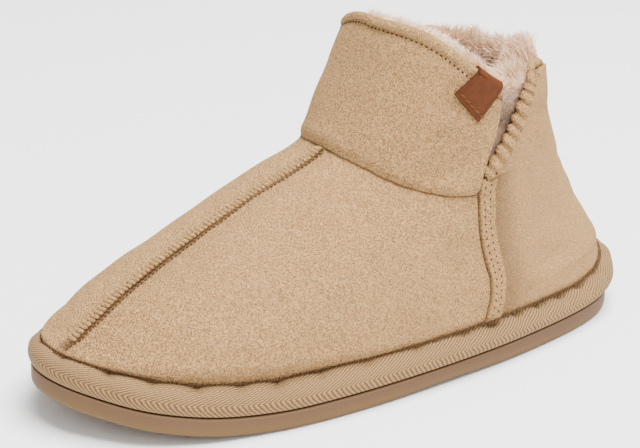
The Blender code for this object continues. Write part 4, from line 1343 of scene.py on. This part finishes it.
class SLIPPER_OT_collar_roll(bpy.types.Operator):
    """Rolled edge on top of the front panel, from notch to notch"""
    bl_idname = "slipper.collar_roll"
    bl_label = "Collar roll"

    def execute(self, context):
        pitch = context.scene.slipper_sizes.hole_pitch
        edge = seam_turn()
        steps = 120
        half = np.linspace(0, edge, steps)
        turn = np.concatenate([half[:0:-1], half])
        side = np.concatenate([-np.ones(steps - 1), np.ones(steps)])
        height = roll_height_at(turn / edge)
        middle, normal = shaft_surface(turn, side, height / 2 - 0.0002)
        high, _ = shaft_surface(turn, side, height / 2 - 0.0022)
        up = unit(high - middle)
        reach = arc_lengths(middle)
        end = np.minimum(reach, reach[-1] - reach)
        round_end = rounded_end(end, ROLL_END)
        gather = 0.5 + 0.5 * np.cos(2 * math.pi * reach / pitch)
        pressed = ease((ROLL_PRESSED_REACH - np.abs(reach[-1] - reach - TAB_FROM_PANEL_EDGE)) / 0.0015)
        middle = middle - normal * ROLL_INSET - up * (ROLL_PRESSED * pressed)[:, None]
        angles = np.linspace(0, 2 * math.pi, 25)[:-1]
        rows = []
        for angle in angles:
            a, b = math.cos(angle), math.sin(angle)
            square = (abs(a) ** ROLL_SQUARENESS + abs(b) ** ROLL_SQUARENESS) ** (-1 / ROLL_SQUARENESS)
            uneven = 1 + 0.06 * np.sin(reach * 310 + 1.2 * b) * np.sin(reach * 97 + 1)
            uneven = uneven + 0.04 * np.sin(reach * 720 - 2 * b)
            outer = max(a, 0) * (0.5 - 0.5 * b)
            out = ROLL_REACH * a * square * round_end * (1 - 0.16 * gather * outer) * uneven
            rise = (height / 2) * b * square * round_end * (1 - 0.25 * pressed)
            rows.append(middle + normal * out[:, None] + up * rise[:, None])
        points = np.array(rows).transpose(1, 0, 2)
        joint = np.zeros(points.shape[:2])
        # Painted shade on the underside of the roll
        joint[:, (angles > 1.25 * math.pi) & (angles < 1.74 * math.pi)] = 0.7
        piece = add_sheet("collar_roll", points, closed=True, joint=joint, nap=np.full(joint.shape, 0.8))
        complete(piece, 80, [suede_finish()])
        return {"FINISHED"}


class SLIPPER_OT_toe_seam(bpy.types.Operator):
    """Overlocked lumps of suede over the toe seam, with their small stitches, from the tape to the instep"""
    bl_idname = "slipper.toe_seam"
    bl_label = "Toe seam"

    def execute(self, context):
        wanted = context.scene.slipper_sizes
        _, normal, _, plain = upper_surface()
        rows = (FINE_ROWS >= 1.25) & (FINE_ROWS <= 7.98)
        path, out = plain[rows, 0], normal[rows, 0]
        span = arc_lengths(path)[-1]
        places = np.arange(0.0060, span - 0.0006, wanted.overlock_pitch)
        at, out = resampled(path, places, out)
        out = unit(out)
        tangent = unit(np.gradient(at, axis=0))
        across = unit(np.cross(out, tangent))
        across *= np.sign(across[:, :1])
        rng = np.random.default_rng(11)
        reach = np.linspace(-1, 1, 13)
        lumps, knots, radii, knot_radii = [], [], [], []
        for i in range(len(at)):
            left, right = -0.0021 + rng.uniform(-0.0002, 0.0002), 0.0019
            offset = np.where(reach < 0, -reach * left, reach * right)
            height = TOE_SEAM_HEIGHT * 0.62 * np.cos(reach * math.pi / 2) ** 0.8 - 0.0003
            slant = tangent[i] * (0.45 * offset + rng.uniform(-0.0001, 0.0001))[:, None]
            lumps.append(at[i] + across[i] * offset[:, None] + out[i] * height[:, None] + slant)
            radii.append(wanted.overlock_lump * rng.uniform(0.88, 1.10) * (1 - 0.55 * np.abs(reach) ** 3))
            for start, high in ((-0.0021, 0.0), (-0.0009, 0.0006)):
                along = np.linspace(-0.5, 0.5, 5) * rng.uniform(0.0009, 0.0014)
                place = at[i] + across[i] * (start + rng.uniform(-0.0002, 0.0002)) + out[i] * (high + 0.00075)
                bow = out[i] * (0.00018 * np.cos(np.linspace(-1, 1, 5) * math.pi / 2))[:, None]
                knots.append(place + across[i] * along[:, None] + tangent[i] * (0.5 * along)[:, None] + bow)
                knot_radii.append(np.full(5, wanted.overlock_thread * rng.uniform(0.7, 1.1)))
        vertices, faces = tube_mesh(lumps, radii, 8)
        # Painted shade in the crease at the lumps' right ends
        dark = np.tile(np.repeat(0.85 * (reach > 0.80), 8), len(lumps))
        piece = add_mesh("toe_seam_lumps", vertices, faces, joint=dark, nap=np.full(len(dark), 0.8))
        dress(piece, [suede_finish()])
        vertices, faces = tube_mesh(knots, knot_radii, 5)
        piece = add_mesh("toe_seam_stitches", vertices, faces)
        dress(piece, [thread_finish("overlock_thread", "thread", 0.6)])
        return {"FINISHED"}


class SLIPPER_OT_feather_seam(bpy.types.Operator):
    """Short fuzzy threads that hold the suede down to the tape, all the way round"""
    bl_idname = "slipper.feather_seam"
    bl_label = "Feather seam"

    def execute(self, context):
        (low, out), (high, _) = above_tape(-0.0002), above_tape(0.0012)
        places = np.arange(0, arc_lengths(low)[-1], context.scene.slipper_sizes.feather_pitch)
        foot, top, out = resampled(low, places, high, out)
        out = unit(out * (1, 1, 0))
        along = unit(np.gradient(foot, axis=0))
        rng = np.random.default_rng(17)
        share = np.linspace(0, 1, 7)
        paths, radii = [], []
        for a, b, n, t in zip(foot, top, out, along):
            run = (b - a) * rng.uniform(0.35, 1.15)
            lean = t * rng.uniform(-0.0004, 0.0012)
            run = run * (1 + 0.35 * float(heelward(a[1])))
            bow = FEATHER_BOW * (1 - share) ** 1.5 + 0.00025 * np.sin(share * math.pi) + 0.00005
            paths.append(a + (run + lean) * share[:, None] + n * bow[:, None])
            radii.append(FEATHER_THREAD * rng.uniform(0.7, 1.25) * (1 - 0.6 * (2 * share - 1) ** 4))
        vertices, faces = tube_mesh(paths, radii, 5)
        piece = add_mesh("feather_stitches", vertices, faces)
        dress(piece, [thread_finish("feather_thread", "feather", 0.8)])
        return {"FINISHED"}


class SLIPPER_OT_seam_holes(bpy.types.Operator):
    """Painted shade of the needle holes, as dark flattened dots: beside the toe seam, on the side seams and under the
    collar roll
    """
    bl_idname = "slipper.seam_holes"
    bl_label = "Needle holes"

    def execute(self, context):
        wanted = context.scene.slipper_sizes
        bpy.ops.object.select_all(action="DESELECT")
        bpy.ops.mesh.primitive_ico_sphere_add(subdivisions=2, radius=wanted.hole_radius)
        model = bpy.context.object
        transforms = []
        for path, out, pitch, wide in self.hole_lines(wanted):
            places = np.arange(pitch / 2, arc_lengths(path)[-1], pitch)
            at, normal = resampled(path, places, out)
            normal = unit(normal)
            tangent = unit(np.gradient(at, axis=0))
            beside = unit(np.cross(normal, tangent))
            for place, n, t, b in zip(at, normal, tangent, beside):
                turn = np.stack([t * wide, b * 0.9, n * 0.45], axis=1)
                transforms.append((turn, place))
        piece = copies("needle_holes", model, transforms)
        dress(piece, [hole_shade_finish()])
        return {"FINISHED"}

    def hole_lines(self, wanted):
        """Each line of holes: its path, its normals, the pitch, and how much longer than wide a hole is."""
        points, normal, _, plain = upper_surface()
        places = fine_columns()
        rows = (FINE_ROWS >= 1.5) & (FINE_ROWS <= 7.95)
        beside = int(np.argmin(np.abs(places - 1.5)))
        yield points[rows, beside], normal[rows, beside], wanted.overlock_pitch, 1.5
        ring = points.shape[1]
        strip = (FINE_ROWS >= 1.9) & (FINE_ROWS <= NOTCH_LEVEL)
        for share in (0.45, 1.30):
            at = int(np.argmin(np.abs(places - (STRIP_FRONT + share))))
            for c in (at, ring - at):
                yield points[strip, c][int(share):], normal[strip, c][int(share):], wanted.hole_pitch * 1.4, 1.0
        down = distance_down(plain)
        last = int(np.argmin(np.abs(places - PANEL_EDGE)))
        under = roll_height_at(places / PANEL_EDGE)
        path, out = (
            np.array([
                [np.interp(under[abs(c)] + 0.0003, down[::-1, c], grid[::-1, c, k]) for k in range(3)]
                for c in range(-last, last + 1)
            ])
            for grid in (points, normal)
        )
        yield path, out, wanted.hole_pitch, 1.3


class SLIPPER_OT_quarter_overlock(bpy.types.Operator):
    """Thick overlocked edge of the heel quarter: up one notch, round the back rim and down the other"""
    bl_idname = "slipper.quarter_overlock"
    bl_label = "Quarter overlock"

    def execute(self, context):
        path = self.edge_path()
        span = arc_lengths(path)[-1]
        lumps = int(span / sizes_wanted().quarter_pitch)
        places = np.linspace(0, span, lumps * 14 + 1)
        (path,) = resampled(path, places)
        for _ in range(6):
            path[1:-1] = (path[:-2] + 2 * path[1:-1] + path[2:]) / 4
        tangent = unit(np.gradient(path, axis=0))
        centre = np.array([0, COLLAR_MIDDLE, 0])
        out = path - centre
        out[:, 2] = 0
        out -= tangent * np.sum(out * tangent, axis=1, keepdims=True)
        out = unit(out)
        side = np.cross(tangent, out)
        share = places / span * lumps
        bend = 0.5 + 0.5 * np.cos(np.clip((np.abs(places / span - 0.5) * 2 - 0.50) / 0.13, 0, 1) * math.pi)
        chunky = 1 - 0.35 * bend
        ends = np.minimum(places, span - places)
        cap = rounded_end(ends, EDGING_END)
        angles = np.linspace(0, 2 * math.pi, 25)[:-1]
        rng = np.random.default_rng(5)
        jitter = np.interp(share, np.arange(lumps + 1), rng.uniform(-0.20, 0.20, lumps + 1))
        rows = []
        for angle in angles:
            phase = share + 0.20 * math.cos(angle) + jitter
            lump = np.abs(np.sin(math.pi * phase)) ** 0.75
            ply = 0.5 + 0.5 * np.cos(2 * math.pi * (phase * 3 + 0.2 * math.sin(angle * 2)))
            radius = EDGING_RADIUS - EDGING_LUMP + chunky * EDGING_LUMP * 2.1 * lump + 0.00024 * ply
            radius = radius * cap * (1 - 0.36 * bend)
            rows.append(path + out * (radius * math.cos(angle))[:, None] + side * (radius * math.sin(angle))[:, None])
        points = np.array(rows).transpose(1, 0, 2)
        crease = np.abs(np.sin(math.pi * (share + jitter))) ** 0.6
        # Painted shade in the valleys between the lumps
        joint = np.repeat((0.42 * (1 - crease) ** 1.5)[:, None], len(angles), axis=1)
        piece = add_sheet("quarter_overlock", points, closed=True, joint=joint, nap=np.full(joint.shape, 0.8))
        complete(piece, 80, [suede_finish()], ["quarter_edging"])
        return {"FINISHED"}

    def edge_path(self):
        """Line along the quarter's edge: up the outer notch, round the back rim and down the inner notch."""
        reach = EDGING_RADIUS + EDGING_LUMP + GAP
        rim = level_sizes(COLLAR)
        corner = float(turn_at(rim, rim["quarter_y"]))
        legs = []
        for side in (1, -1):
            leg = []
            for level in np.linspace(NOTCH_LEVEL - 0.02, COLLAR - 0.12, 14):
                sizes = level_sizes(float(level))
                turn = turn_at(sizes, sizes["quarter_y"])
                edge, behind = upper_points(sizes, [turn, turn + 0.01], side)
                forward = unit(edge - behind)
                leg.append(edge + forward * (reach + 0.0011))
            turn = np.concatenate([[corner], np.linspace(corner + 0.10, math.pi, 16)])
            above = reach * (0.62 - 0.62 * ease((turn - corner) / 0.4))
            top = shaft_surface(turn, np.full(len(turn), side), -above)[0]
            top[0] += forward * reach * 0.85
            legs.append(np.concatenate([leg, top]))
        path = np.concatenate([legs[0], legs[1][-2::-1]])
        inward = np.array([0, COLLAR_MIDDLE, 0]) - path
        inward[:, 2] = 0
        tucked = np.concatenate([np.zeros(len(leg)), np.full(len(top), EDGING_TUCKED)])
        tucked = np.concatenate([tucked, tucked[-2::-1]])
        return path + unit(inward) * (UPPER_WALL / 2 + tucked)[:, None]


class SLIPPER_OT_tab(bpy.types.Operator):
    """Leather tab folded over the collar, with a creased border and a row of stitches"""
    bl_idname = "slipper.tab"
    bl_label = "Leather tab"

    def execute(self, context):
        edge = seam_turn()
        pace = np.linalg.norm(np.diff(upper_points(level_sizes(COLLAR), [edge - 0.05, edge], 1), axis=0)) / 0.05
        outside = COLLAR_BEAD + GAP
        inside = UPPER_WALL + GAP
        fold = np.array((
            (TAB_DROP, outside * 0.6), (TAB_DROP * 0.62, outside * 0.8), (TAB_DROP * 0.30, outside * 1.1),
            (0.0022, outside + 0.0003), (0.0004, outside * 0.4), (0.0000, -UPPER_WALL * 0.45),
            (0.0004, -inside * 0.90), (0.0024, -inside * 1.05), (TAB_INNER_DROP, -inside),
        ))
        fine = np.linspace(0, len(fold) - 1, 8 * (len(fold) - 1) + 1)
        fold = np.stack([smooth(np.arange(len(fold)), fold[:, k], fine) for k in range(2)], axis=1)
        across = np.linspace(-0.5, 0.5, 25)
        rows, worn = [], []
        for down, out in fold:
            places = across * TAB_WIDTH - TAB_FROM_PANEL_EDGE
            turns = edge + (places - TAB_SLANT * max(down, 0) * (1 if out > 0 else 0)) / pace
            here, normal = shaft_surface(turns, np.ones(len(turns)), self.drop(across, down))
            border = self.border(across, down) if out > 0 else np.zeros(len(across))
            rows.append(here + normal * (out - 0.00022 * border)[:, None])
            rim_wear = np.clip((np.abs(across) - 0.45) / 0.05, 0, 1) * 0.7
            worn.append(np.maximum(rim_wear * 0.7, border * 0.45))
        piece = add_sheet("leather_tab", rows, worn=np.array(worn))
        self.point_outwards(piece)
        apply_modifier(piece, "SOLIDIFY", thickness=TAB_THICKNESS, offset=1)
        apply_modifier(
            piece, "BEVEL", width=0.0003, segments=3, limit_method="ANGLE", angle_limit=math.radians(50),
            affect="EDGES")
        smooth_by_angle(piece, 60)
        dress(piece, [leather_finish()], ["tab"])
        self.add_stitches(edge, pace, outside)
        return {"FINISHED"}

    def border(self, across, down):
        """Depth of the creased line inside the tab's edges, 0 to 1."""
        inset = TAB_DROP - TAB_BORDER
        sides = np.exp(-(((np.abs(across) - TAB_BORDER_SHARE) / 0.022) ** 2)) * (down < inset)
        end = math.exp(-(((down - inset) / 0.0003) ** 2)) * (np.abs(across) < TAB_BORDER_SHARE)
        return np.maximum(sides, end)

    def drop(self, across, down):
        """Distance from the rim, with the lower end cut along the collar's slope."""
        return down * (1 - 0.19 * (0.5 - across) * (down > 0.002))

    def point_outwards(self, piece):
        """Turns the sheet's face to the outer side, where its thickness is added."""
        middle = piece.data.polygons[12]
        if middle.normal.x < 0:
            edit(piece, (bpy.ops.mesh.flip_normals, {}))

    def add_stitches(self, edge, pace, outside):
        """Slanted stitches in a row near the lower end of the tab's outer leg."""
        paths, radii = [], []
        for i in range(TAB_STITCHES):
            share = -0.40 + 0.20 * i
            ends = []
            for s, d in ((share, 0.0003), (share + 0.07, 0.0), (share + 0.15, -0.0003)):
                down = TAB_DROP * 0.86 + d
                place = s * TAB_WIDTH - TAB_FROM_PANEL_EDGE - TAB_SLANT * down
                turn = np.array([edge + place / pace])
                here, normal = shaft_surface(turn, np.ones(1), self.drop(np.array([s]), down))
                lift = outside * 0.66 + TAB_THICKNESS + (0.00022 if d == 0 else -0.0001)
                ends.append((here + normal * lift)[0])
            ends = np.array(ends)
            fine = np.linspace(0, 2, 9)
            path = np.stack([smooth(np.arange(3), ends[:, k], fine) for k in range(3)], axis=1)
            paths.append(path)
            radii.append(TAB_THREAD * np.sqrt(np.clip(1 - (fine - 1) ** 4, 0.05, 1)))
        vertices, faces = tube_mesh(paths, radii, 8)
        piece = add_mesh("tab_stitches", vertices, faces)
        dress(piece, [thread_finish("tab_thread", "ochre", 0.4)])


# Pile

def pile_ground(rows=40, count=180):
    """Ring that the collar's strands grow from: rows of points round its section, and its row shares."""
    turn, side = ring_of_turns(count)
    notch = notch_turn()
    to_inner = np.where(side < 0, np.clip((math.pi - turn) / 0.9, 0, 1), 0)
    behind = FUR_RISE_BACK + (FUR_RISE_INNER - FUR_RISE_BACK) * to_inner
    rise = np.where(
        turn < notch,
        FUR_RISE_NOTCH + (FUR_RISE_FRONT - FUR_RISE_NOTCH) * np.clip((notch - turn) / 0.45, 0, 1) ** 0.8,
        FUR_RISE_NOTCH + (behind - FUR_RISE_NOTCH) * np.clip((turn - notch) / 0.45, 0, 1) ** 0.8,
    ) - PILE_GROUND_DROP
    rise -= rim_swell(turn, seam_turn(), side)
    rise -= np.where(side < 0, 0.0036 * ease(1.4 - turn / 1.0), 0.0016 * ease(1 - turn / 0.8))
    outer, thick = FUR_INSET, FUR_THICKNESS * 0.70
    section = (
        (FUR_DEPTH, outer), (FUR_DEPTH * 0.5, outer), (0.0040, outer), (-rise * 0.55, outer + 0.0002),
        (-rise * 0.92, outer + thick * 0.25), (-rise, outer + thick * 0.5), (-rise * 0.85, outer + thick * 0.8),
        (0.0030, outer + thick), (FUR_DEPTH * 0.3, outer + thick), (FUR_DEPTH * 0.6, outer + thick),
        (FUR_DEPTH * 0.86, outer + thick * 0.8), (FUR_DEPTH, outer + thick * 0.4),
    )
    knots = []
    for down, depth in section:
        down = np.broadcast_to(np.asarray(down, float), turn.shape)
        here, normal = shaft_surface(turn, side, down)
        knots.append(here - normal * depth)
    knots = np.array(knots)
    fine = np.linspace(0, len(section) - 1, rows)
    low = np.clip(fine.astype(int), 0, len(section) - 2)
    t = (fine - low)[:, None, None]
    return knots[low] * (1 - t) + knots[low + 1] * t, fine


def painted_notch_shade(points):
    """How much painted shade lies on the pile's outer face low in a side notch, 0 to 1."""
    return 0.75 * ease((0.113 - points[..., 2]) / 0.018) * (points[..., 1] < 0.075)


def strand_mesh(name, roots, directions, lengths, tufts, tuft_tips, tones, width, clump, droop, rng, deep=0.0):
    """Flat tapered strands, drawn together towards their tuft's tip."""
    tree = KDTree(len(tufts))
    for i, place in enumerate(tufts):
        tree.insert(place, i)
    tree.balance()
    nearest = np.array([tree.find(place)[1] for place in roots])
    count = len(roots)
    shares = (0.0, 0.38, 0.74, 1.0)
    corners = 2 * len(shares) - 1
    free = unit(directions + rng.normal(0, 0.22, (count, 3)))
    free_tip = roots + free * lengths[:, None]
    pull = (tuft_tips[nearest] - free_tip) * (clump * rng.uniform(0.7, 1.0, count))[:, None]
    wavy = unit(rng.normal(0, 1, (len(tufts), 3)))[nearest] * 0.20
    swirl = (wavy + unit(rng.normal(0, 1, (count, 3))) * 0.08) * lengths[:, None]
    flat = unit(np.cross(free, unit(rng.normal(0, 1, (count, 3)))))
    middle = []
    for share in shares:
        bend = pull * share**1.7 + swirl * math.sin(share * math.pi)
        middle.append(roots + free * (lengths * share)[:, None] + bend + droop * (lengths * share**2)[:, None])
    widths = [width, width * 0.95, width * 0.65]
    rows = []
    for place, wide in zip(middle, widths):
        rows += [place - flat * wide / 2, place + flat * wide / 2]
    rows.append(middle[3])
    vertices = np.stack(rows, axis=1).reshape(-1, 3)
    start = np.arange(count)[:, None] * corners
    quads = np.concatenate([start + np.array([0, 1, 3, 2]), start + np.array([2, 3, 5, 4])])
    tips = start + np.array([4, 5, 6])
    faces = quads.tolist() + tips.tolist()
    tip = np.tile(np.repeat(shares, 2)[:corners], count)
    tone = np.repeat(np.clip(tones[nearest] + rng.normal(0, 0.10, count), 0, 1), corners)
    return add_mesh(name, vertices, faces, tip=tip, tone=tone, deep=np.repeat(deep * np.ones(count), corners))


def low_noise(points, seed):
    """Smooth values from -1 to 1 that vary over a few centimetres."""
    rng = np.random.default_rng(seed)
    total = np.zeros(len(points))
    for _ in range(4):
        wave = rng.normal(0, 140, 3)
        total += np.sin(points @ wave + rng.uniform(0, 6.28))
    return total / 2.5


def picked_on(grid, fine, weights, count, rng, allowed=None):
    """Random places on the ground's grid: points, normals and places round the section."""
    rows, columns = grid.shape[:2]
    chance = weights / weights.sum()
    r = rng.choice(rows - 1, size=count, p=chance)
    c = rng.integers(0, columns, count) if allowed is None else rng.choice(allowed, count)
    u, v = rng.uniform(0, 1, (2, count, 1))
    d = (c + 1) % columns
    low = grid[r, c] * (1 - v) + grid[r, d] * v
    high = grid[r + 1, c] * (1 - v) + grid[r + 1, d] * v
    around = unit(grid[r, d] - grid[r, c])
    run = unit(high - low)
    return low * (1 - u) + high * u, unit(np.cross(around, run)), fine[r] + u[:, 0]


class SLIPPER_OT_pile(bpy.types.Operator):
    """Deep pile lining: its ground and three bands of strands gathered in tufts"""
    bl_idname = "slipper.pile"
    bl_label = "Collar pile"

    def execute(self, context):
        wanted, counts = context.scene.slipper_sizes, context.scene.slipper_counts
        grid, fine = pile_ground()
        # Painted shade on the ground low in the side notches
        deep = painted_notch_shade(grid) * ((fine < NOTCH_BAND[1]) & (fine > 0.4))[:, None]
        ground = add_sheet(
            "pile_ground", np.concatenate([grid, grid[:1]]), closed=True, deep=np.concatenate([deep, deep[:1]]))
        complete(ground, 80, [fleece_finish()], ["fur_collar"])
        rim_rows, inner_rows, notch_rows = (
            (fine[:-1] > low) & (fine[:-1] < high) for low, high in (RIM_BAND, INNER_BAND, NOTCH_BAND))
        turn, _ = ring_of_turns(grid.shape[1])
        notch = notch_turn()
        in_notch = np.flatnonzero((turn > notch - 0.45) & (turn < notch + 0.12))
        for name, pick, count, reach, seed, allowed in (
            ("pile_rim", rim_rows, counts.rim_strands, wanted.pile_rim, 21, None),
            ("pile_inside", inner_rows, counts.inside_strands, wanted.pile_inside, 22, None),
            ("pile_notch", notch_rows, counts.notch_strands, wanted.pile_notch, 24, in_notch),
        ):
            rng = np.random.default_rng(seed)
            spacing = np.linalg.norm(np.diff(grid, axis=0), axis=2).mean(axis=1)
            weights = spacing * pick
            roots, normal, row = picked_on(grid, fine, weights, count, rng, allowed)
            tufts, tuft_normal, tuft_row = picked_on(grid, fine, weights, counts.tufts, rng, allowed)
            direction, length = self.lie(roots, normal, row, reach)
            tuft_direction, tuft_length = self.lie(tufts, tuft_normal, tuft_row, reach)
            tuft_direction = unit(tuft_direction + rng.normal(0, 0.34, tufts.shape))
            tips = tufts + tuft_direction * (tuft_length * rng.uniform(0.75, 1.15, len(tufts)))[:, None]
            tones = np.clip(0.45 + 0.42 * low_noise(tufts, 3) + rng.normal(0, 0.12, len(tufts)), 0, 1)
            tones = np.where(tufts[:, 1] < 0.034, tones * 0.30, tones)
            length = length * rng.uniform(0.66, 1.12, count)
            piece = strand_mesh(
                name, roots, direction, length, tufts, tips, tones, wanted.pile_width, clump=0.32,
                droop=np.array([0, 0, -0.10]), rng=rng, deep=painted_notch_shade(roots) if allowed is not None else 0.0)
            dress(piece, [pile_finish()])
        return {"FINISHED"}

    def lie(self, roots, normal, row, reach):
        """Direction and length of the pile: outwards in the notches, up over the rim, up and inwards inside."""
        inward = np.array([0, 0.045, 0]) - roots
        inward[:, 2] = 0
        inward = unit(inward)
        up = np.array([0, 0, 1.0])
        front = ease((0.040 - roots[:, 1]) / 0.03)[:, None]
        behind = ease((roots[:, 1] - 0.050) / 0.02)[:, None]
        middle = ease((0.030 - roots[:, 1]) / 0.022)[:, None]
        inner = (ease(-roots[:, 0] / 0.012) * ease((roots[:, 1] - 0.022) / 0.01) * (1 - behind[:, 0]))[:, None]
        crest = ease(1 - np.abs(row - 5.0) / 2.4)[:, None]
        outer = ease((4.8 - row) / 1.4)[:, None]
        wave = np.stack([low_noise(roots, s) for s in (31, 32, 33)], axis=1) * 0.28
        direction = inward * ((0.62 - 0.25 * crest) * (1 - outer) - 0.30 * outer * (1 - behind))
        direction += up * (0.45 + 0.75 * crest) * (1 - 0.4 * outer) + wave
        direction += np.array([0, 0.30, 0]) * front * (1 - outer)
        far_back = behind * ease(-roots[:, :1] / 0.01)
        grown = 1 - 0.10 * front - 0.60 * middle * crest + 0.42 * inner + 0.40 * behind - 0.15 * far_back
        length = reach * grown[:, 0] * (0.85 + 0.15 * low_noise(roots, 41))
        return unit(direction + normal * 0.1), length * (1 - (0.35 + 0.25 * behind) * outer)[:, 0]


class SLIPPER_OT_footbed(bpy.types.Operator):
    """Footbed covered in short pile"""
    bl_idname = "slipper.footbed"
    bl_label = "Footbed pile"

    def execute(self, context):
        wanted, counts = context.scene.slipper_sizes, context.scene.slipper_counts
        inset = FEATHER_INSET + UPPER_WALL + INSOLE_CLEARANCE
        top = INSOLE_THICKNESS - 0.0016
        profile = (
            (inset + 0.0006, 0.0), (inset, 0.0008), (inset, top * 0.6), (inset + 0.0006, top * 0.88),
            (inset + 0.0020, top),
        )
        rings = [outline_ring(i, FEATHER_HEIGHT + h, 80) for i, h in profile]
        rings = [centre_line(rings[0]), *rings, centre_line(rings[-1])]
        ground = add_sheet("footbed_ground", rings, closed=True)
        complete(ground, 50, [fleece_finish()], ["insole"])
        rng = np.random.default_rng(23)
        roots, tufts = (self.scatter(n, inset, top, rng) for n in (counts.footbed_strands, counts.tufts))
        up = np.array([0, -0.25, 1.0])
        directions = unit(up + np.stack([low_noise(roots, s) for s in (51, 52, 53)], axis=1) * 0.5)
        tips = tufts + unit(up + rng.normal(0, 0.35, tufts.shape)) * wanted.pile_footbed
        tones = np.clip(0.35 + 0.35 * low_noise(tufts, 4) + rng.normal(0, 0.1, len(tufts)), 0, 1)
        lengths = wanted.pile_footbed * rng.uniform(0.7, 1.1, len(roots))
        piece = strand_mesh(
            "footbed_pile", roots, directions, lengths, tufts, tips, tones, wanted.pile_width * 1.3, clump=0.5,
            droop=np.zeros(3), rng=rng)
        dress(piece, [pile_finish()])
        return {"FINISHED"}

    def scatter(self, count, inset, top, rng):
        """Places all over the footbed's top."""
        turn = np.arccos(1 - 2 * rng.uniform(0.01, 0.99, count))
        across = rng.uniform(-0.97, 0.97, count)
        y = -np.cos(turn) * (HALF_LENGTH - inset - 0.002)
        x = footprint(turn, "centre") * HALF_BALL + across * footprint(turn, "half") * (HALF_BALL - inset - 0.002)
        return np.stack([x, y, FEATHER_HEIGHT + top - 0.0003 + toe_lift(y)], axis=1)


class SLIPPER_OT_stage(bpy.types.Operator):
    """Pale floor, soft studio light and the camera"""
    bl_idname = "slipper.stage"
    bl_label = "Stage"

    def execute(self, context):
        bpy.ops.object.select_all(action="DESELECT")
        bpy.ops.mesh.primitive_plane_add(size=12)
        floor = bpy.context.object
        floor.name = "studio_floor"
        floor.data.materials.append(floor_finish())
        floor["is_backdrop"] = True
        world = bpy.data.worlds.new("studio")
        context.scene.world = world
        world.use_nodes = True
        background = world.node_tree.nodes["Background"]
        background.inputs["Color"].default_value = (1.0, 0.99, 0.98, 1)
        background.inputs["Strength"].default_value = WORLD_STRENGTH
        for name, place, size, power in LIGHTS:
            bpy.ops.object.light_add(type="AREA", location=place)
            light = bpy.context.object
            light.name = name
            light.data.size = size
            light.data.energy = power
            light.rotation_euler = (Vector(CAMERA_TARGET) - Vector(place)).to_track_quat("-Z", "Y").to_euler()
        self.add_camera(context)
        return {"FINISHED"}

    def add_camera(self, context):
        """The photograph's view."""
        azimuth, elevation, roll = (math.radians(v) for v in (CAMERA_AZIMUTH, CAMERA_ELEVATION, CAMERA_ROLL))
        width, height = CAMERA_PICTURE
        middle_x, middle_y = CAMERA_MIDDLE
        level = math.cos(elevation)
        back = Vector((math.sin(azimuth) * level, -math.cos(azimuth) * level, math.sin(elevation)))
        right = Vector((math.cos(azimuth), math.sin(azimuth), 0))
        up = back.cross(right)
        across = right * math.cos(roll) + up * math.sin(roll)
        upward = -right * math.sin(roll) + up * math.cos(roll)
        target = Vector(CAMERA_TARGET) + Vector(OFFSET)
        data = bpy.data.cameras.new("photo_camera")
        data.sensor_width = SENSOR_WIDTH
        data.lens = CAMERA_FOCAL * SENSOR_WIDTH / width
        data.shift_x = (width / 2 - middle_x) / width
        data.shift_y = (middle_y - height / 2) / width
        data.clip_start = 0.01
        camera = bpy.data.objects.new("photo_camera", data)
        context.scene.collection.objects.link(camera)
        turned = Matrix((across, upward, back)).transposed().to_4x4()
        camera.matrix_world = Matrix.Translation(target + back * CAMERA_DISTANCE) @ turned
        context.scene.camera = camera


OPERATORS = (
    SLIPPER_OT_outsole, SLIPPER_OT_platform, SLIPPER_OT_upper, SLIPPER_OT_collar_roll, SLIPPER_OT_toe_seam,
    SLIPPER_OT_feather_seam, SLIPPER_OT_seam_holes, SLIPPER_OT_quarter_overlock, SLIPPER_OT_tab, SLIPPER_OT_pile,
    SLIPPER_OT_footbed, SLIPPER_OT_stage,
)


class SLIPPER_PT_pieces(bpy.types.Panel):
    """Pieces of the slipper, with their sizes and colours"""
    bl_idname = "SLIPPER_PT_pieces"
    bl_label = "Bootie Slipper"
    bl_space_type = "VIEW_3D"
    bl_region_type = "UI"
    bl_category = "Slipper"

    def draw(self, context):
        layout = self.layout
        for operator in OPERATORS:
            layout.operator(operator.bl_idname)
        for group in (context.scene.slipper_sizes, context.scene.slipper_counts, context.scene.slipper_colours):
            box = layout.box()
            for name in group.__annotations__:
                box.prop(group, name)


CLASSES = (SlipperSizes, SlipperCounts, SlipperColours, *OPERATORS, SLIPPER_PT_pieces)


def register():
    for each in CLASSES:
        bpy.utils.register_class(each)
    bpy.types.Scene.slipper_sizes = bpy.props.PointerProperty(type=SlipperSizes)
    bpy.types.Scene.slipper_counts = bpy.props.PointerProperty(type=SlipperCounts)
    bpy.types.Scene.slipper_colours = bpy.props.PointerProperty(type=SlipperColours)


def unregister():
    for name in ("slipper_sizes", "slipper_counts", "slipper_colours"):
        delattr(bpy.types.Scene, name)
    for each in reversed(CLASSES):
        bpy.utils.unregister_class(each)


def main():
    register()
    bpy.ops.slipper.outsole()
    bpy.ops.slipper.platform()
    bpy.ops.slipper.upper()
    bpy.ops.slipper.collar_roll()
    bpy.ops.slipper.toe_seam()
    bpy.ops.slipper.feather_seam()
    bpy.ops.slipper.seam_holes()
    bpy.ops.slipper.quarter_overlock()
    bpy.ops.slipper.tab()
    bpy.ops.slipper.pile()
    bpy.ops.slipper.footbed()
    bpy.ops.slipper.stage()
    boxes = [[list(map(float, corner)) for corner in bounds] for bounds in (CAD_BOUNDS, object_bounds())]


if __name__ == "__main__":
    main()
